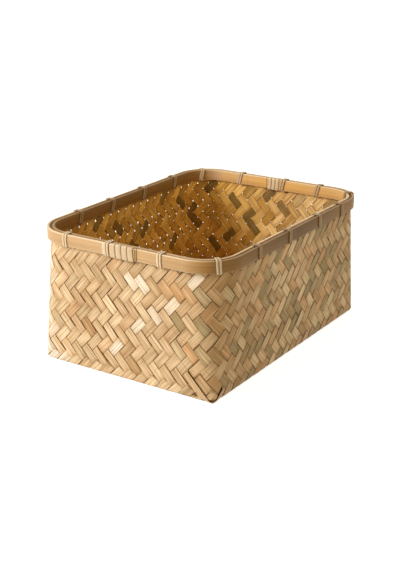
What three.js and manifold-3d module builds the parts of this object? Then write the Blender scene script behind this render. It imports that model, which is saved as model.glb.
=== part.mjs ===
// Bamboo storage basket: a plaited body, a flat hoop outside its rim and another inside it.
// Each hoop closes in a scarf joint bound with flat strips, and split lashings tie both hoops on.
// Millimetres, +Z up. The long sides run along X, and the origin is on the ground under the middle.

import * as THREE from 'three';
import { mergeVertices } from 'three/addons/utils/BufferGeometryUtils.js';
import Module from 'manifold-3d';

// Outside sizes of the plaited body: its foot, and how far each wall leans out up to the rim
const footLength = 333.4;
const footWidth = 231;
const endSplay = 0.3;
const sideSplay = 5.5;
const footCornerRadius = 6;
const rimCornerRadius = 41;
const foldRadius = 4;
const basketHeight = 156.5;

// Two layers of split bamboo, one over and one under, make the wall
const wallThickness = 2.4;
const weaveEdgeDrop = 1.6;

// The plait's pattern: strips cross the walls both ways on a slant, over two and under two. A cell
// is as wide as one strip takes up along the foot, and strips cross at every half of its height
const sideCellCount = 21;
const endCellCount = 15;
const halfCellHeight = 8.1;
const stripCrestDepth = 0.2;
const stripGrooveDepth = 1.1;

// Hoops of flat split bamboo
const hoopHeight = 13.7;
const hoopThickness = 3;
const hoopEdgeBevel = 0.9;
const scarfTipThickness = 0.6;
const scarfBulge = 0.5;

// Scarf joints: where the covered tip, the covering tip and the full section lie along the side
const outerScarf = { coveredTip: -20, coveringTip: 19, fullSection: 51 };
const innerScarf = { coveredTip: -19, coveringTip: 11.5, fullSection: 43.5 };

// Flat strips wound round a scarf joint
const bindingThickness = 0.6;
const bindingGap = 0.5;
const outerBinding = { start: -12.4, turns: 4, stripWidth: 7.2 };
const innerBinding = { start: -5, turns: 3, stripWidth: 4.8 };
const bindingRamp = 5;
const bindingTailShare = 0.3;

// Split strands of a lashing, two turns over both hoops and through the plait below them
const strandWidth = 2.6;
const strandThickness = 0.8;
const strandGap = 0.6;
const lashingTurns = 2;

// Bare hoop between a binding and the lashing beside it
const besideOuterBinding = 1.9;
const besideInnerBinding = 0.6;

// Clear space between pieces that seat on each other, and what a cut runs past the wall
const seatClearance = 0.3;
const cutOverrun = 2;
const leastStep = 0.2;

// Lashing places, as shares of the rim's length or width from the middle of their side, going
// round counterclockwise seen from above; one more on each end lies beside the hoop's binding
const endLashingShares = {
  right_end: [-0.255, 0.214],
  left_end: [-0.308, 0.211],
};
const sideLashingShares = {
  back_side: [-0.303, -0.103, 0.09, 0.273],
  front_side: [-0.267, -0.07, 0.14, 0.307],
};

// Corner lashings, as shares of their corner's arc
const cornerLashingShares = {
  back_right_corner: 0.5,
  front_left_corner: 0.555,
  front_right_corner: 0.5,
};

// Steps that make a round stretch
const cornerSteps = 12;
const foldSteps = 3;
const scarfSteps = 10;
const rampSteps = 3;
const bendSteps = 2;

// Materials
const plaitMaterial = new THREE.MeshStandardMaterial({ color: 0xd3ab75, roughness: 0.62, metalness: 0 });
const hoopMaterial = new THREE.MeshStandardMaterial({ color: 0xc69a62, roughness: 0.5, metalness: 0 });
const lashingMaterial = new THREE.MeshStandardMaterial({ color: 0xe2cb9b, roughness: 0.55, metalness: 0 });

// Lengths round the rim, measured on the plaited wall's outer face
const rimLength = footLength + 2 * endSplay;
const rimWidth = footWidth + 2 * sideSplay;
const sideX = rimLength - 2 * rimCornerRadius;
const sideY = rimWidth - 2 * rimCornerRadius;
const cornerArc = (Math.PI / 2) * rimCornerRadius;
const rimPerimeter = 2 * (sideX + sideY) + 4 * cornerArc;
const hoopFoot = basketHeight - hoopHeight;
const sideMiddles = {
  right_end: 0,
  back_side: sideY / 2 + cornerArc + sideX / 2,
  left_end: rimPerimeter / 2,
  front_side: rimPerimeter / 2 + sideY / 2 + cornerArc + sideX / 2,
};
const cornerStarts = {
  back_right_corner: sideY / 2,
  back_left_corner: sideY / 2 + cornerArc + sideX,
  front_left_corner: rimPerimeter / 2 + sideY / 2,
  front_right_corner: rimPerimeter / 2 + sideY / 2 + cornerArc + sideX,
};

// The rim line as straight runs and arcs, starting in the middle of the right end
const rimRuns = [
  { length: sideY / 2, heading: Math.PI / 2 },
  { length: cornerArc, heading: Math.PI / 2, arc: true },
  { length: sideX, heading: Math.PI },
  { length: cornerArc, heading: Math.PI, arc: true },
  { length: sideY, heading: 1.5 * Math.PI },
  { length: cornerArc, heading: 1.5 * Math.PI, arc: true },
  { length: sideX, heading: 2 * Math.PI },
  { length: cornerArc, heading: 2 * Math.PI, arc: true },
  { length: sideY / 2, heading: 2.5 * Math.PI },
];

// Point on the wall's outer face at a distance round the rim, moved outward and to height z
function rimPoint(distance, outward, z) {
  let left = THREE.MathUtils.euclideanModulo(distance, rimPerimeter);
  const at = new THREE.Vector2(rimLength / 2, 0);
  for (const run of rimRuns) {
    const along = Math.min(left, run.length);
    const turned = run.arc ? along / rimCornerRadius : 0;
    const face = run.heading - Math.PI / 2;
    if (run.arc) {
      at.x += rimCornerRadius * (Math.cos(face + turned) - Math.cos(face));
      at.y += rimCornerRadius * (Math.sin(face + turned) - Math.sin(face));
    } else {
      at.x += along * Math.cos(run.heading);
      at.y += along * Math.sin(run.heading);
    }
    left -= along;
    if (left <= 0 || run === rimRuns[rimRuns.length - 1]) {
      const normal = face + turned;
      return new THREE.Vector3(at.x + outward * Math.cos(normal), at.y + outward * Math.sin(normal), z);
    }
  }
  return null;
}

// Rounded rectangle at height z, counterclockwise from the foot of the first corner
function roundedRing(length, width, radius, z) {
  const ring = [];
  const signs = [[1, 1], [-1, 1], [-1, -1], [1, -1]];
  signs.forEach(([signX, signY], corner) => {
    for (let step = 0; step <= cornerSteps; step += 1) {
      const angle = (corner + step / cornerSteps) * (Math.PI / 2);
      ring.push(new THREE.Vector3(
        signX * (length / 2 - radius) + radius * Math.cos(angle),
        signY * (width / 2 - radius) + radius * Math.sin(angle),
        z,
      ));
    }
  });
  return ring;
}

// Closed solid through a row of rings with equal numbers of points, with a flat cap at each end
function loft(rings) {
  const count = rings[0].length;
  const points = rings.flat();
  const faces = [];
  for (let row = 0; row < rings.length - 1; row += 1) {
    for (let i = 0; i < count; i += 1) {
      const next = (i + 1) % count;
      const low = row * count;
      const high = low + count;
      faces.push(low + i, low + next, high + next, low + i, high + next, high + i);
    }
  }
  const last = (rings.length - 1) * count;
  const capCentre = (ring) => ring.reduce((sum, p) => sum.add(p), new THREE.Vector3()).divideScalar(count);
  const startCentre = points.push(capCentre(rings[0])) - 1;
  const endCentre = points.push(capCentre(rings[rings.length - 1])) - 1;
  for (let i = 0; i < count; i += 1) {
    const next = (i + 1) % count;
    faces.push(startCentre, next, i, endCentre, last + i, last + next);
  }
  return facingOut(new THREE.BufferGeometry().setFromPoints(points).setIndex(faces));
}

// The same geometry with its faces turned over if they point inwards
function facingOut(geometry) {
  const position = geometry.getAttribute('position');
  const index = Array.from(geometry.getIndex().array);
  const [a, b, c] = [new THREE.Vector3(), new THREE.Vector3(), new THREE.Vector3()];
  let volume = 0;
  for (let i = 0; i < index.length; i += 3) {
    a.fromBufferAttribute(position, index[i]);
    b.fromBufferAttribute(position, index[i + 1]);
    c.fromBufferAttribute(position, index[i + 2]);
    volume += a.dot(b.cross(c));
  }
  if (volume < 0) {
    geometry.setIndex(index.reverse());
  }
  return geometry;
}

// Smooth rise from 0 to 1 between two places
function rise(from, to, at) {
  return THREE.MathUtils.smoothstep(at, from, to);
}

// Distance along a binding that its strip covers, with its slanted tail
function bindingEnd(binding) {
  const pitch = binding.stripWidth + bindingGap;
  return binding.start + (binding.turns - 1 + bindingTailShare) * pitch + binding.stripWidth;
}

// How far a hoop stands off for its binding, from 0 to 1, at a distance from its side's middle
function bindingShare(binding, at) {
  const start = binding.start - seatClearance;
  const end = bindingEnd(binding) + seatClearance;
  return rise(start - bindingRamp, start, at) * (1 - rise(end, end + bindingRamp, at));
}

// A hoop: which side of the wall it is on, the middle of its joint's side, its joint and binding
const outerHoop = {
  side: 1,
  wallFace: 0,
  middle: sideMiddles.left_end,
  scarf: outerScarf,
  binding: outerBinding,
};
const innerHoop = {
  side: -1,
  wallFace: -wallThickness,
  middle: sideMiddles.right_end,
  scarf: innerScarf,
  binding: innerBinding,
};

// Depths of a hoop's hidden face and of its bare face from the wall
function hiddenDepth(hoop, at) {
  return seatClearance + (bindingThickness + seatClearance) * bindingShare(hoop.binding, at);
}

function bareDepth(hoop, at) {
  return seatClearance + hoopThickness + scarfBulge * bindingShare(hoop.binding, at);
}

// Depth of the covered end's pared face in the scarf joint
function paredDepth(hoop, at) {
  const { coveredTip, fullSection } = hoop.scarf;
  const share = THREE.MathUtils.clamp((at - coveredTip) / (fullSection - coveredTip), 0, 1);
  const thin = hiddenDepth(hoop, at) + scarfTipThickness;
  return THREE.MathUtils.lerp(thin, bareDepth(hoop, at), share);
}

// One cross-section of a hoop between two depths, with bevelled edges
function hoopSection(hoop, distance, near, far) {
  const bevel = Math.min(hoopEdgeBevel, (far - near) / 3);
  const top = basketHeight;
  const profile = [
    [near + bevel, hoopFoot], [far - bevel, hoopFoot], [far, hoopFoot + bevel], [far, top - bevel],
    [far - bevel, top], [near + bevel, top], [near, top - bevel], [near, hoopFoot + bevel],
  ];
  return profile.map(([depth, z]) => rimPoint(distance, hoop.wallFace + hoop.side * depth, z));
}

// Places along a hoop, from its side's middle, where its shape changes within the joint
function jointStations(hoop) {
  const { coveredTip, coveringTip, fullSection } = hoop.scarf;
  const start = hoop.binding.start - seatClearance;
  const end = bindingEnd(hoop.binding) + seatClearance;
  const stations = [coveringTip];
  for (let step = 0; step <= scarfSteps; step += 1) {
    stations.push(THREE.MathUtils.lerp(coveredTip, fullSection, step / scarfSteps));
  }
  for (let step = 0; step <= rampSteps; step += 1) {
    stations.push(THREE.MathUtils.lerp(start - bindingRamp, start, step / rampSteps));
    stations.push(THREE.MathUtils.lerp(end, end + bindingRamp, step / rampSteps));
  }
  return stations;
}

// Places round the rim where the corner arcs have their facets, from a side's middle
function cornerStations(middle) {
  return Object.values(cornerStarts).flatMap((start) => {
    const stations = [];
    for (let step = 0; step <= cornerSteps; step += 1) {
      const distance = start + (step / cornerSteps) * cornerArc - middle;
      stations.push(THREE.MathUtils.euclideanModulo(distance, rimPerimeter));
    }
    return stations;
  });
}

// Stations in order without near doubles, kept between two places
function tidyStations(stations, from, to) {
  const sorted = [from, to, ...stations].filter((at) => at >= from && at <= to).sort((a, b) => a - b);
  return sorted.filter((at, i) => i === 0 || at - sorted[i - 1] > leastStep);
}

// A hoop runs from its covered tip once round the rim and ends over its own beginning
function makeHoop(hoop) {
  const { coveredTip, coveringTip, fullSection } = hoop.scarf;
  const joint = jointStations(hoop);
  const corners = cornerStations(hoop.middle);
  const wayRound = [...joint, ...corners, ...joint.map((at) => at + rimPerimeter)];
  const coverStart = coveredTip - bindingRamp;
  const stations = tidyStations([...wayRound, coverStart + rimPerimeter], coveredTip, coveringTip + rimPerimeter);
  const rings = stations.map((station) => {
    const secondPass = station > rimPerimeter / 2;
    const at = secondPass ? station - rimPerimeter : station;
    let near = hiddenDepth(hoop, at);
    let far = bareDepth(hoop, at);
    if (secondPass) {
      const covering = paredDepth(hoop, at) + seatClearance;
      near = THREE.MathUtils.lerp(near, covering, rise(coverStart, coveredTip, at));
    } else if (at < fullSection) {
      far = paredDepth(hoop, at);
    }
    return hoopSection(hoop, hoop.middle + at, near, far);
  });
  return loft(rings);
}

// Centre line of a strand wound round a box: turns start at the lower hidden corner, go under,
// up the far side, over the top and lean one pitch sideways on the way down
function woundPath({ near, far, foot, top, bend, turns, pitch, tailShare }) {
  const corners = [
    { depth: near, z: foot, from: Math.PI },
    { depth: far, z: foot, from: 1.5 * Math.PI },
    { depth: far, z: top, from: 0 },
    { depth: near, z: top, from: 0.5 * Math.PI },
  ];
  const inward = Math.sign(far - near) * bend;
  const path = [];
  for (let turn = 0; turn < turns; turn += 1) {
    corners.forEach((corner) => {
      const centreDepth = corner.depth === near ? near + inward : far - inward;
      const centreZ = corner.z === foot ? foot + bend : top - bend;
      for (let step = 0; step <= bendSteps; step += 1) {
        const angle = corner.from + (step / bendSteps) * (Math.PI / 2);
        const outDepth = Math.sign(inward) * Math.cos(angle);
        const outZ = Math.sin(angle);
        path.push({
          along: turn * pitch,
          depth: centreDepth + bend * outDepth,
          z: centreZ + bend * outZ,
          outDepth,
          outZ,
        });
      }
    });
  }
  const tail = path[path.length - 1];
  path.push({
    ...tail,
    along: tail.along + tailShare * pitch,
    z: THREE.MathUtils.lerp(tail.z, foot + bend, tailShare),
  });
  return path;
}

// Flat strand along a wound path, with its width along the rim
function makeStrand(path, { distance, width, thickness, wallFace, side }) {
  const rings = path.map((spot) => {
    const corners = [[-1, -1], [1, -1], [1, 1], [-1, 1]];
    return corners.map(([acrossSign, outSign]) => rimPoint(
      distance + spot.along + (acrossSign * width) / 2,
      wallFace + side * (spot.depth + (outSign * thickness * spot.outDepth) / 2),
      spot.z + (outSign * thickness * spot.outZ) / 2,
    ));
  });
  return loft(rings);
}

// Binding of flat strip round a hoop's scarf joint, between the hoop and the wall on its hidden side
function makeBinding(hoop) {
  const { start, turns, stripWidth } = hoop.binding;
  const standOff = seatClearance + bindingThickness / 2;
  const path = woundPath({
    near: standOff,
    far: seatClearance + hoopThickness + scarfBulge + standOff,
    foot: hoopFoot - standOff,
    top: basketHeight + standOff,
    bend: hoopEdgeBevel + standOff,
    turns,
    pitch: stripWidth + bindingGap,
    tailShare: bindingTailShare,
  });
  return makeStrand(path, {
    distance: hoop.middle + start + stripWidth / 2,
    width: stripWidth,
    thickness: bindingThickness,
    wallFace: hoop.wallFace,
    side: hoop.side,
  });
}

// Greatest depth of a hoop's bare face under a stretch of the rim
function hoopReach(hoop, distance, halfStretch) {
  const depths = [-1, 0, 1].map((sign) => {
    const turnedBack = distance + sign * halfStretch - hoop.middle;
    const half = rimPerimeter / 2;
    return bareDepth(hoop, THREE.MathUtils.euclideanModulo(turnedBack + half, rimPerimeter) - half);
  });
  return Math.max(...depths);
}

const strandPitch = strandWidth + strandGap;
const strandStandOff = seatClearance + strandThickness / 2;
const lashingSpread = (lashingTurns - 1) * strandPitch;

// The walls stop leaning out just below the lashings
const straightFrom = hoopFoot - 2 * strandStandOff - strandThickness;

// Lashing over both hoops, centred on a place round the rim
function makeLashing(distance) {
  const halfStretch = (lashingSpread + strandWidth) / 2;
  const path = woundPath({
    near: -wallThickness - hoopReach(innerHoop, distance, halfStretch + strandPitch) - strandStandOff,
    far: hoopReach(outerHoop, distance, halfStretch) + strandStandOff,
    foot: hoopFoot - strandStandOff,
    top: basketHeight + strandStandOff,
    bend: hoopEdgeBevel + strandStandOff,
    turns: lashingTurns,
    pitch: strandPitch,
    tailShare: 1,
  });
  return makeStrand(path, {
    distance: distance - lashingSpread / 2,
    width: strandWidth,
    thickness: strandThickness,
    wallFace: 0,
    side: 1,
  });
}

// Slot through the wall that a lashing's strands pass
function makeLashingSlot(distance) {
  const length = lashingSpread + strandWidth + 2 * seatClearance;
  const depth = wallThickness + 2 * cutOverrun;
  const height = strandThickness + 2 * seatClearance;
  const slot = new THREE.BoxGeometry(depth, length, height);
  const level = hoopFoot - strandStandOff;
  const centre = rimPoint(distance, -wallThickness / 2, level);
  const through = rimPoint(distance, 0, level).sub(rimPoint(distance, -wallThickness, level));
  slot.rotateZ(Math.atan2(through.y, through.x));
  slot.translate(centre.x, centre.y, centre.z);
  return slot;
}

// Plaited body: flat foot, a small fold, walls that change from the foot's outline to the rim's
function makePlaitedShell() {
  const wallRing = (z, inset) => {
    const share = Math.min(z / straightFrom, 1);
    const radius = THREE.MathUtils.lerp(footCornerRadius, rimCornerRadius, share) - inset;
    const length = THREE.MathUtils.lerp(footLength, rimLength, share) - 2 * inset;
    const width = THREE.MathUtils.lerp(footWidth, rimWidth, share) - 2 * inset;
    return roundedRing(length, width, radius, z);
  };
  const foldRings = (radius, inset) => {
    const rings = [];
    for (let step = 0; step <= foldSteps; step += 1) {
      const angle = (step / foldSteps) * (Math.PI / 2);
      rings.push(wallRing(inset + radius * (1 - Math.cos(angle)), inset + radius * (1 - Math.sin(angle))));
    }
    return rings;
  };
  const edge = basketHeight - weaveEdgeDrop;
  return loft([
    ...foldRings(foldRadius, 0),
    wallRing(straightFrom, 0),
    wallRing(edge, 0),
    wallRing(edge, wallThickness),
    wallRing(straightFrom, wallThickness),
    ...foldRings(foldRadius - wallThickness, wallThickness).reverse(),
  ]);
}

// Place on a wall, a number of plait cells round it from the front left corner of the foot. Spots
// keep their share of each quarter from the foot's sharp outline to the rounded ring at height z
function wallPoint(cells, z, depth) {
  const around = THREE.MathUtils.euclideanModulo(cells, 2 * (sideCellCount + endCellCount));
  const half = sideCellCount + endCellCount;
  const [turned, onSide] = around < half ? [1, around] : [-1, around - half];
  const onLength = onSide < sideCellCount;
  const footX = onLength ? (onSide / sideCellCount - 1 / 2) * footLength : footLength / 2;
  const footY = onLength ? -footWidth / 2 : ((onSide - sideCellCount) / endCellCount - 1 / 2) * footWidth;
  const fromMiddle = onLength ? Math.abs(footX) : footLength / 2 + footWidth / 2 - Math.abs(footY);

  const share = Math.min(z / straightFrom, 1);
  const radius = THREE.MathUtils.lerp(footCornerRadius, rimCornerRadius, share);
  const straightX = THREE.MathUtils.lerp(footLength, rimLength, share) / 2 - radius;
  const straightY = THREE.MathUtils.lerp(footWidth, rimWidth, share) / 2 - radius;
  const arc = (Math.PI / 2) * radius;
  const run = (fromMiddle / ((footLength + footWidth) / 2)) * (straightX + arc + straightY);
  const angle = THREE.MathUtils.clamp(run - straightX, 0, arc) / radius;
  const past = Math.max(run - straightX - arc, 0);
  const x = Math.min(run, straightX) + (radius - depth) * Math.sin(angle);
  const y = straightY + (radius - depth) * Math.cos(angle) - past;
  return new THREE.Vector3(turned * Math.sign(footX) * x, turned * Math.sign(footY) * y, z);
}

// Everything inside the plait's relief: crests along the floats on the outside of the walls, grooves
// round them. Odd points of a row are the crossings on it, even points lie between the strips
function makePlaitCore() {
  const count = 4 * (sideCellCount + endCellCount);
  const rows = Math.ceil(straightFrom / halfCellHeight);
  const points = [];
  for (let row = 0; row <= rows; row += 1) {
    for (let i = 0; i < count; i += 1) {
      const depth = i % 2 === 1 ? stripCrestDepth : stripGrooveDepth;
      points.push(wallPoint((row + i) / 2, row * halfCellHeight, depth));
    }
  }
  const spot = (row, i) => row * count + THREE.MathUtils.euclideanModulo(i, count);
  const faces = [];
  for (let row = 0; row < rows; row += 1) {
    for (let i = 1; i < count; i += 2) {
      const [left, crossing, right] = [spot(row, i - 1), spot(row, i), spot(row, i + 1)];
      const [aboveLeft, above, aboveRight] = [spot(row + 1, i - 2), spot(row + 1, i - 1), spot(row + 1, i)];
      if (row % 4 === 0) {
        faces.push(crossing, right, aboveRight, crossing, aboveRight, above);
      } else {
        faces.push(crossing, right, above, right, aboveRight, above);
      }
      if (row % 4 === 2) {
        faces.push(crossing, above, aboveLeft, crossing, aboveLeft, left);
      } else {
        faces.push(crossing, above, left, above, aboveLeft, left);
      }
    }
  }
  const foot = points.push(new THREE.Vector3()) - 1;
  const top = points.push(new THREE.Vector3(0, 0, rows * halfCellHeight)) - 1;
  for (let i = 0; i < count; i += 1) {
    faces.push(foot, spot(0, i + 1), spot(0, i), top, spot(rows, i), spot(rows, i + 1));
  }
  return facingOut(new THREE.BufferGeometry().setFromPoints(points).setIndex(faces));
}

// Solids for the cuts
const wasm = await Module();
wasm.setup();

function toSolid(geometry) {
  const bare = geometry.clone();
  bare.deleteAttribute('normal');
  bare.deleteAttribute('uv');
  const merged = mergeVertices(bare);
  return new wasm.Manifold(new wasm.Mesh({
    numProp: 3,
    vertProperties: new Float32Array(merged.getAttribute('position').array),
    triVerts: new Uint32Array(merged.getIndex().array),
  }));
}

function toGeometry(solid) {
  const { vertProperties, triVerts, numProp } = solid.getMesh();
  const geometry = new THREE.BufferGeometry();
  geometry.setAttribute('position', new THREE.BufferAttribute(vertProperties, numProp));
  return geometry.setIndex(Array.from(triVerts));
}

function addPiece(group, name, geometry, material) {
  const piece = new THREE.Mesh(geometry, material);
  piece.name = name;
  group.add(piece);
}

// Where every lashing sits round the rim, with its name
const lashingHalf = (lashingSpread + strandWidth) / 2;
const besideBinding = {
  left_end: outerBinding.start - besideOuterBinding - lashingHalf,
  right_end: innerBinding.start - besideInnerBinding - strandPitch - lashingHalf,
};
const lashingPlaces = [];

function placeOnSide(side, offsets) {
  offsets.sort((a, b) => a - b).forEach((offset, i) => {
    lashingPlaces.push({ name: `lashing_${side}_${i + 1}`, distance: sideMiddles[side] + offset });
  });
}

for (const [side, shares] of Object.entries(endLashingShares)) {
  placeOnSide(side, [besideBinding[side], ...shares.map((share) => share * rimWidth)]);
}
for (const [side, shares] of Object.entries(sideLashingShares)) {
  placeOnSide(side, shares.map((share) => share * rimLength));
}
for (const [corner, share] of Object.entries(cornerLashingShares)) {
  lashingPlaces.push({ name: `lashing_${corner}`, distance: cornerStarts[corner] + share * cornerArc });
}

// The basket
const basket = new THREE.Group();
const reliefBand = new THREE.BoxGeometry(rimLength + 2 * cutOverrun, rimWidth + 2 * cutOverrun, straightFrom - foldRadius)
  .translate(0, 0, (straightFrom + foldRadius) / 2);
const grooves = toSolid(reliefBand).subtract(toSolid(makePlaitCore()));
let plait = toSolid(makePlaitedShell()).subtract(grooves);
for (const place of lashingPlaces) {
  plait = plait.subtract(toSolid(makeLashingSlot(place.distance)));
}
addPiece(basket, 'plaited_body', toGeometry(plait), plaitMaterial);

const hoops = new THREE.Group();
addPiece(hoops, 'outer_hoop', makeHoop(outerHoop), hoopMaterial);
addPiece(hoops, 'inner_hoop', makeHoop(innerHoop), hoopMaterial);
basket.add(hoops);

const ties = new THREE.Group();
addPiece(ties, 'outer_hoop_binding', makeBinding(outerHoop), lashingMaterial);
addPiece(ties, 'inner_hoop_binding', makeBinding(innerHoop), lashingMaterial);
for (const place of lashingPlaces) {
  addPiece(ties, place.name, makeLashing(place.distance), lashingMaterial);
}
basket.add(ties);

export default basket;
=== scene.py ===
# Bamboo storage basket: a twill-plaited body of split bamboo strips, a flat hoop outside and
# inside its rim, flat strips bound round the hoops' scarf joints, and split lashings
import math
import random

import bpy
import numpy as np
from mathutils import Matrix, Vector


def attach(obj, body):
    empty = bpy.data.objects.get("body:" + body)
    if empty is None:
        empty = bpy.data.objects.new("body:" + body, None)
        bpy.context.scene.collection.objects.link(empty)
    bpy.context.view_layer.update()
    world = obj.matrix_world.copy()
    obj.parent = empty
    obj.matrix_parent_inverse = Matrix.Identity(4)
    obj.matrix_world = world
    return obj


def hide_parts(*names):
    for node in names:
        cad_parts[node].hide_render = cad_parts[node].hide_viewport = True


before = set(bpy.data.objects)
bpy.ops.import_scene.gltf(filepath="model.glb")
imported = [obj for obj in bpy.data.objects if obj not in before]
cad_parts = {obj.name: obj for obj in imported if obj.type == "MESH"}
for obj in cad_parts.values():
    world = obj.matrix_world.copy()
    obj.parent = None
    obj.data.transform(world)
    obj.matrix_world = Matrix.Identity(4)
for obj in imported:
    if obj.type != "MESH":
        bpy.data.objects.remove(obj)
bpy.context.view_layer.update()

# Sizes are in millimetres up to the meshes, which are in metres
MM = 0.001
TINY = 1e-6
QUARTER_TURN = math.pi / 2

# The body as in the CAD: foot and rim outlines, fold, wall and its upper edge
FOOT_LENGTH = 333.4
FOOT_WIDTH = 231.0
RIM_LENGTH = 334.0
RIM_WIDTH = 242.0
FOOT_CORNER = 6.0
RIM_CORNER = 41.0
FOLD_RADIUS = 4.0
WALL = 2.4
BASKET_HEIGHT = 156.5
WEAVE_TOP = 154.9
STRAIGHT_FROM = 140.6

# Hoops, scarf joints, bindings and lashings as in the CAD
HOOP_HEIGHT = 13.7
HOOP_THICKNESS = 3.0
HOOP_ROUNDING = 0.75
SCARF_TIP = 0.6
SCARF_BULGE = 0.5
BINDING_THICKNESS = 0.6
BINDING_GAP = 0.5
BINDING_RAMP = 5.0
BINDING_TAIL = 0.3
STRAND_WIDTH = 2.6
STRAND_THICKNESS = 0.8
STRAND_GAP = 0.6
STRAND_PITCH = STRAND_WIDTH + STRAND_GAP
SEAT = 0.3
HOOP_FOOT = BASKET_HEIGHT - HOOP_HEIGHT

# The plait: cells along each side, strip rhythm of two over and two under
CELLS_LONG = 21
CELLS_WIDE = 15
HALF_LONG = CELLS_LONG / 2
HALF_WIDE = CELLS_WIDE / 2
CELL_X = FOOT_LENGTH / CELLS_LONG
CELL_Y = FOOT_WIDTH / CELLS_WIDE
CELL_Z = 16.2
CELLS_ROUND = 2 * (CELLS_LONG + CELLS_WIDE)
FOLD_CELL = (CELL_X + CELL_Y) / 2
STRIP_WIDTH = 10.4
STRIP_THICKNESS = 0.75
STRIP_LIFT = 0.64
STRIP_CUP = 0.02

# Chance, the same on every run
dice = random.Random(20)
gap_dice = random.Random(7)
SEED_SPAN = 50


def limited(value, most):
    return min(max(value, -most), most)


# Node trees


class Net:
    """A node tree with short ways to add to it. A value is a number or another node's output."""

    def __init__(self, tree):
        self.tree = tree

    def put(self, socket, value):
        if isinstance(value, bpy.types.NodeSocket):
            self.tree.links.new(value, socket)
        else:
            socket.default_value = value

    def fill(self, node, inputs):
        for name, value in inputs.items():
            self.put(node.inputs[name], value)

    def add(self, kind, inputs=None, **settings):
        made = self.tree.nodes.new(kind)
        for name, value in settings.items():
            setattr(made, name, value)
        self.fill(made, inputs or {})
        return made

    def math(self, operation, first, second=0.0, third=0.0):
        return self.add("ShaderNodeMath", {0: first, 1: second, 2: third}, operation=operation).outputs[0]

    def times(self, first, second):
        return self.math("MULTIPLY", first, second)

    def line(self, value, slope, start):
        return self.math("MULTIPLY_ADD", value, slope, start)

    def product(self, *lines):
        """Several straight-line terms multiplied: each is a value, its slope and its start."""
        made = self.line(*lines[0])
        for more in lines[1:]:
            made = self.times(made, self.line(*more))
        return made

    def moved(self, first, second):
        return self.add("ShaderNodeVectorMath", {0: first, 1: second}, operation="ADD").outputs[0]

    def scaled(self, vector, scale):
        return self.add("ShaderNodeVectorMath", {0: vector, "Scale": scale}, operation="SCALE").outputs[0]

    def joined(self, x, y, z):
        return self.add("ShaderNodeCombineXYZ", {"X": x, "Y": y, "Z": z}).outputs[0]

    def parted(self, vector):
        return self.add("ShaderNodeSeparateXYZ", {"Vector": vector}).outputs

    def remap(self, value, low, high, to_low=0.0, to_high=1.0, kind="SMOOTHSTEP"):
        given = {"Value": value, "From Min": low, "From Max": high, "To Min": to_low, "To Max": to_high}
        return self.add("ShaderNodeMapRange", given, interpolation_type=kind).outputs[0]

    def ramp(self, value, low, high):
        return self.remap(value, low, high, kind="LINEAR")

    def mixed(self, share, first, second, blend="MIX"):
        given = {0: share, 6: first, 7: second}
        return self.add("ShaderNodeMix", given, data_type="RGBA", blend_type=blend).outputs[2]

    def tinted(self, colour, tint):
        return self.mixed(1.0, colour, tint, "MULTIPLY")

    def noise(self, vector, detail, roughness):
        given = {"Vector": vector, "Scale": 1.0, "Detail": detail, "Roughness": roughness}
        return self.add("ShaderNodeTexNoise", given).outputs["Fac"]

    def attribute(self, name):
        settings = {"attribute_name": name, "attribute_type": "GEOMETRY"}
        return self.add("ShaderNodeAttribute", **settings).outputs["Fac"]

    def group(self, name, inputs):
        return self.add("ShaderNodeGroup", inputs, node_tree=GROUPS[name]).outputs

    def store(self, geometry, name, kind, value, domain="POINT"):
        given = {"Geometry": geometry, "Name": name, "Value": value}
        return self.add("GeometryNodeStoreNamedAttribute", given, data_type=kind, domain=domain).outputs[0]

    def read(self, name, kind="FLOAT"):
        named = self.add("GeometryNodeInputNamedAttribute", {"Name": name}, data_type=kind)
        return named.outputs["Attribute"]


def open_group(name, inputs, outputs):
    """A shader node group with named sockets: its net, its given outputs and its result inputs."""
    tree = bpy.data.node_groups.new(name, "ShaderNodeTree")
    for label, start in inputs.items():
        socket = tree.interface.new_socket(label, in_out="INPUT", socket_type="NodeSocketFloat")
        socket.default_value = start
    for label in outputs:
        tree.interface.new_socket(label, in_out="OUTPUT", socket_type="NodeSocketFloat")
    given = tree.nodes.new("NodeGroupInput").outputs
    return Net(tree), given, tree.nodes.new("NodeGroupOutput").inputs


# A flat strip along a path

STRIP_SOCKETS = {
    "Geometry": "Geometry",
    "Strip Width": "Float",
    "Strip Thickness": "Float",
    "Edge Rounding": "Float",
    "Section Points": "Int",
    "Sharp Angle": "Float",
    "Material": "Material",
}
SIDE_STEEPNESS = 1000.0


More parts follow.
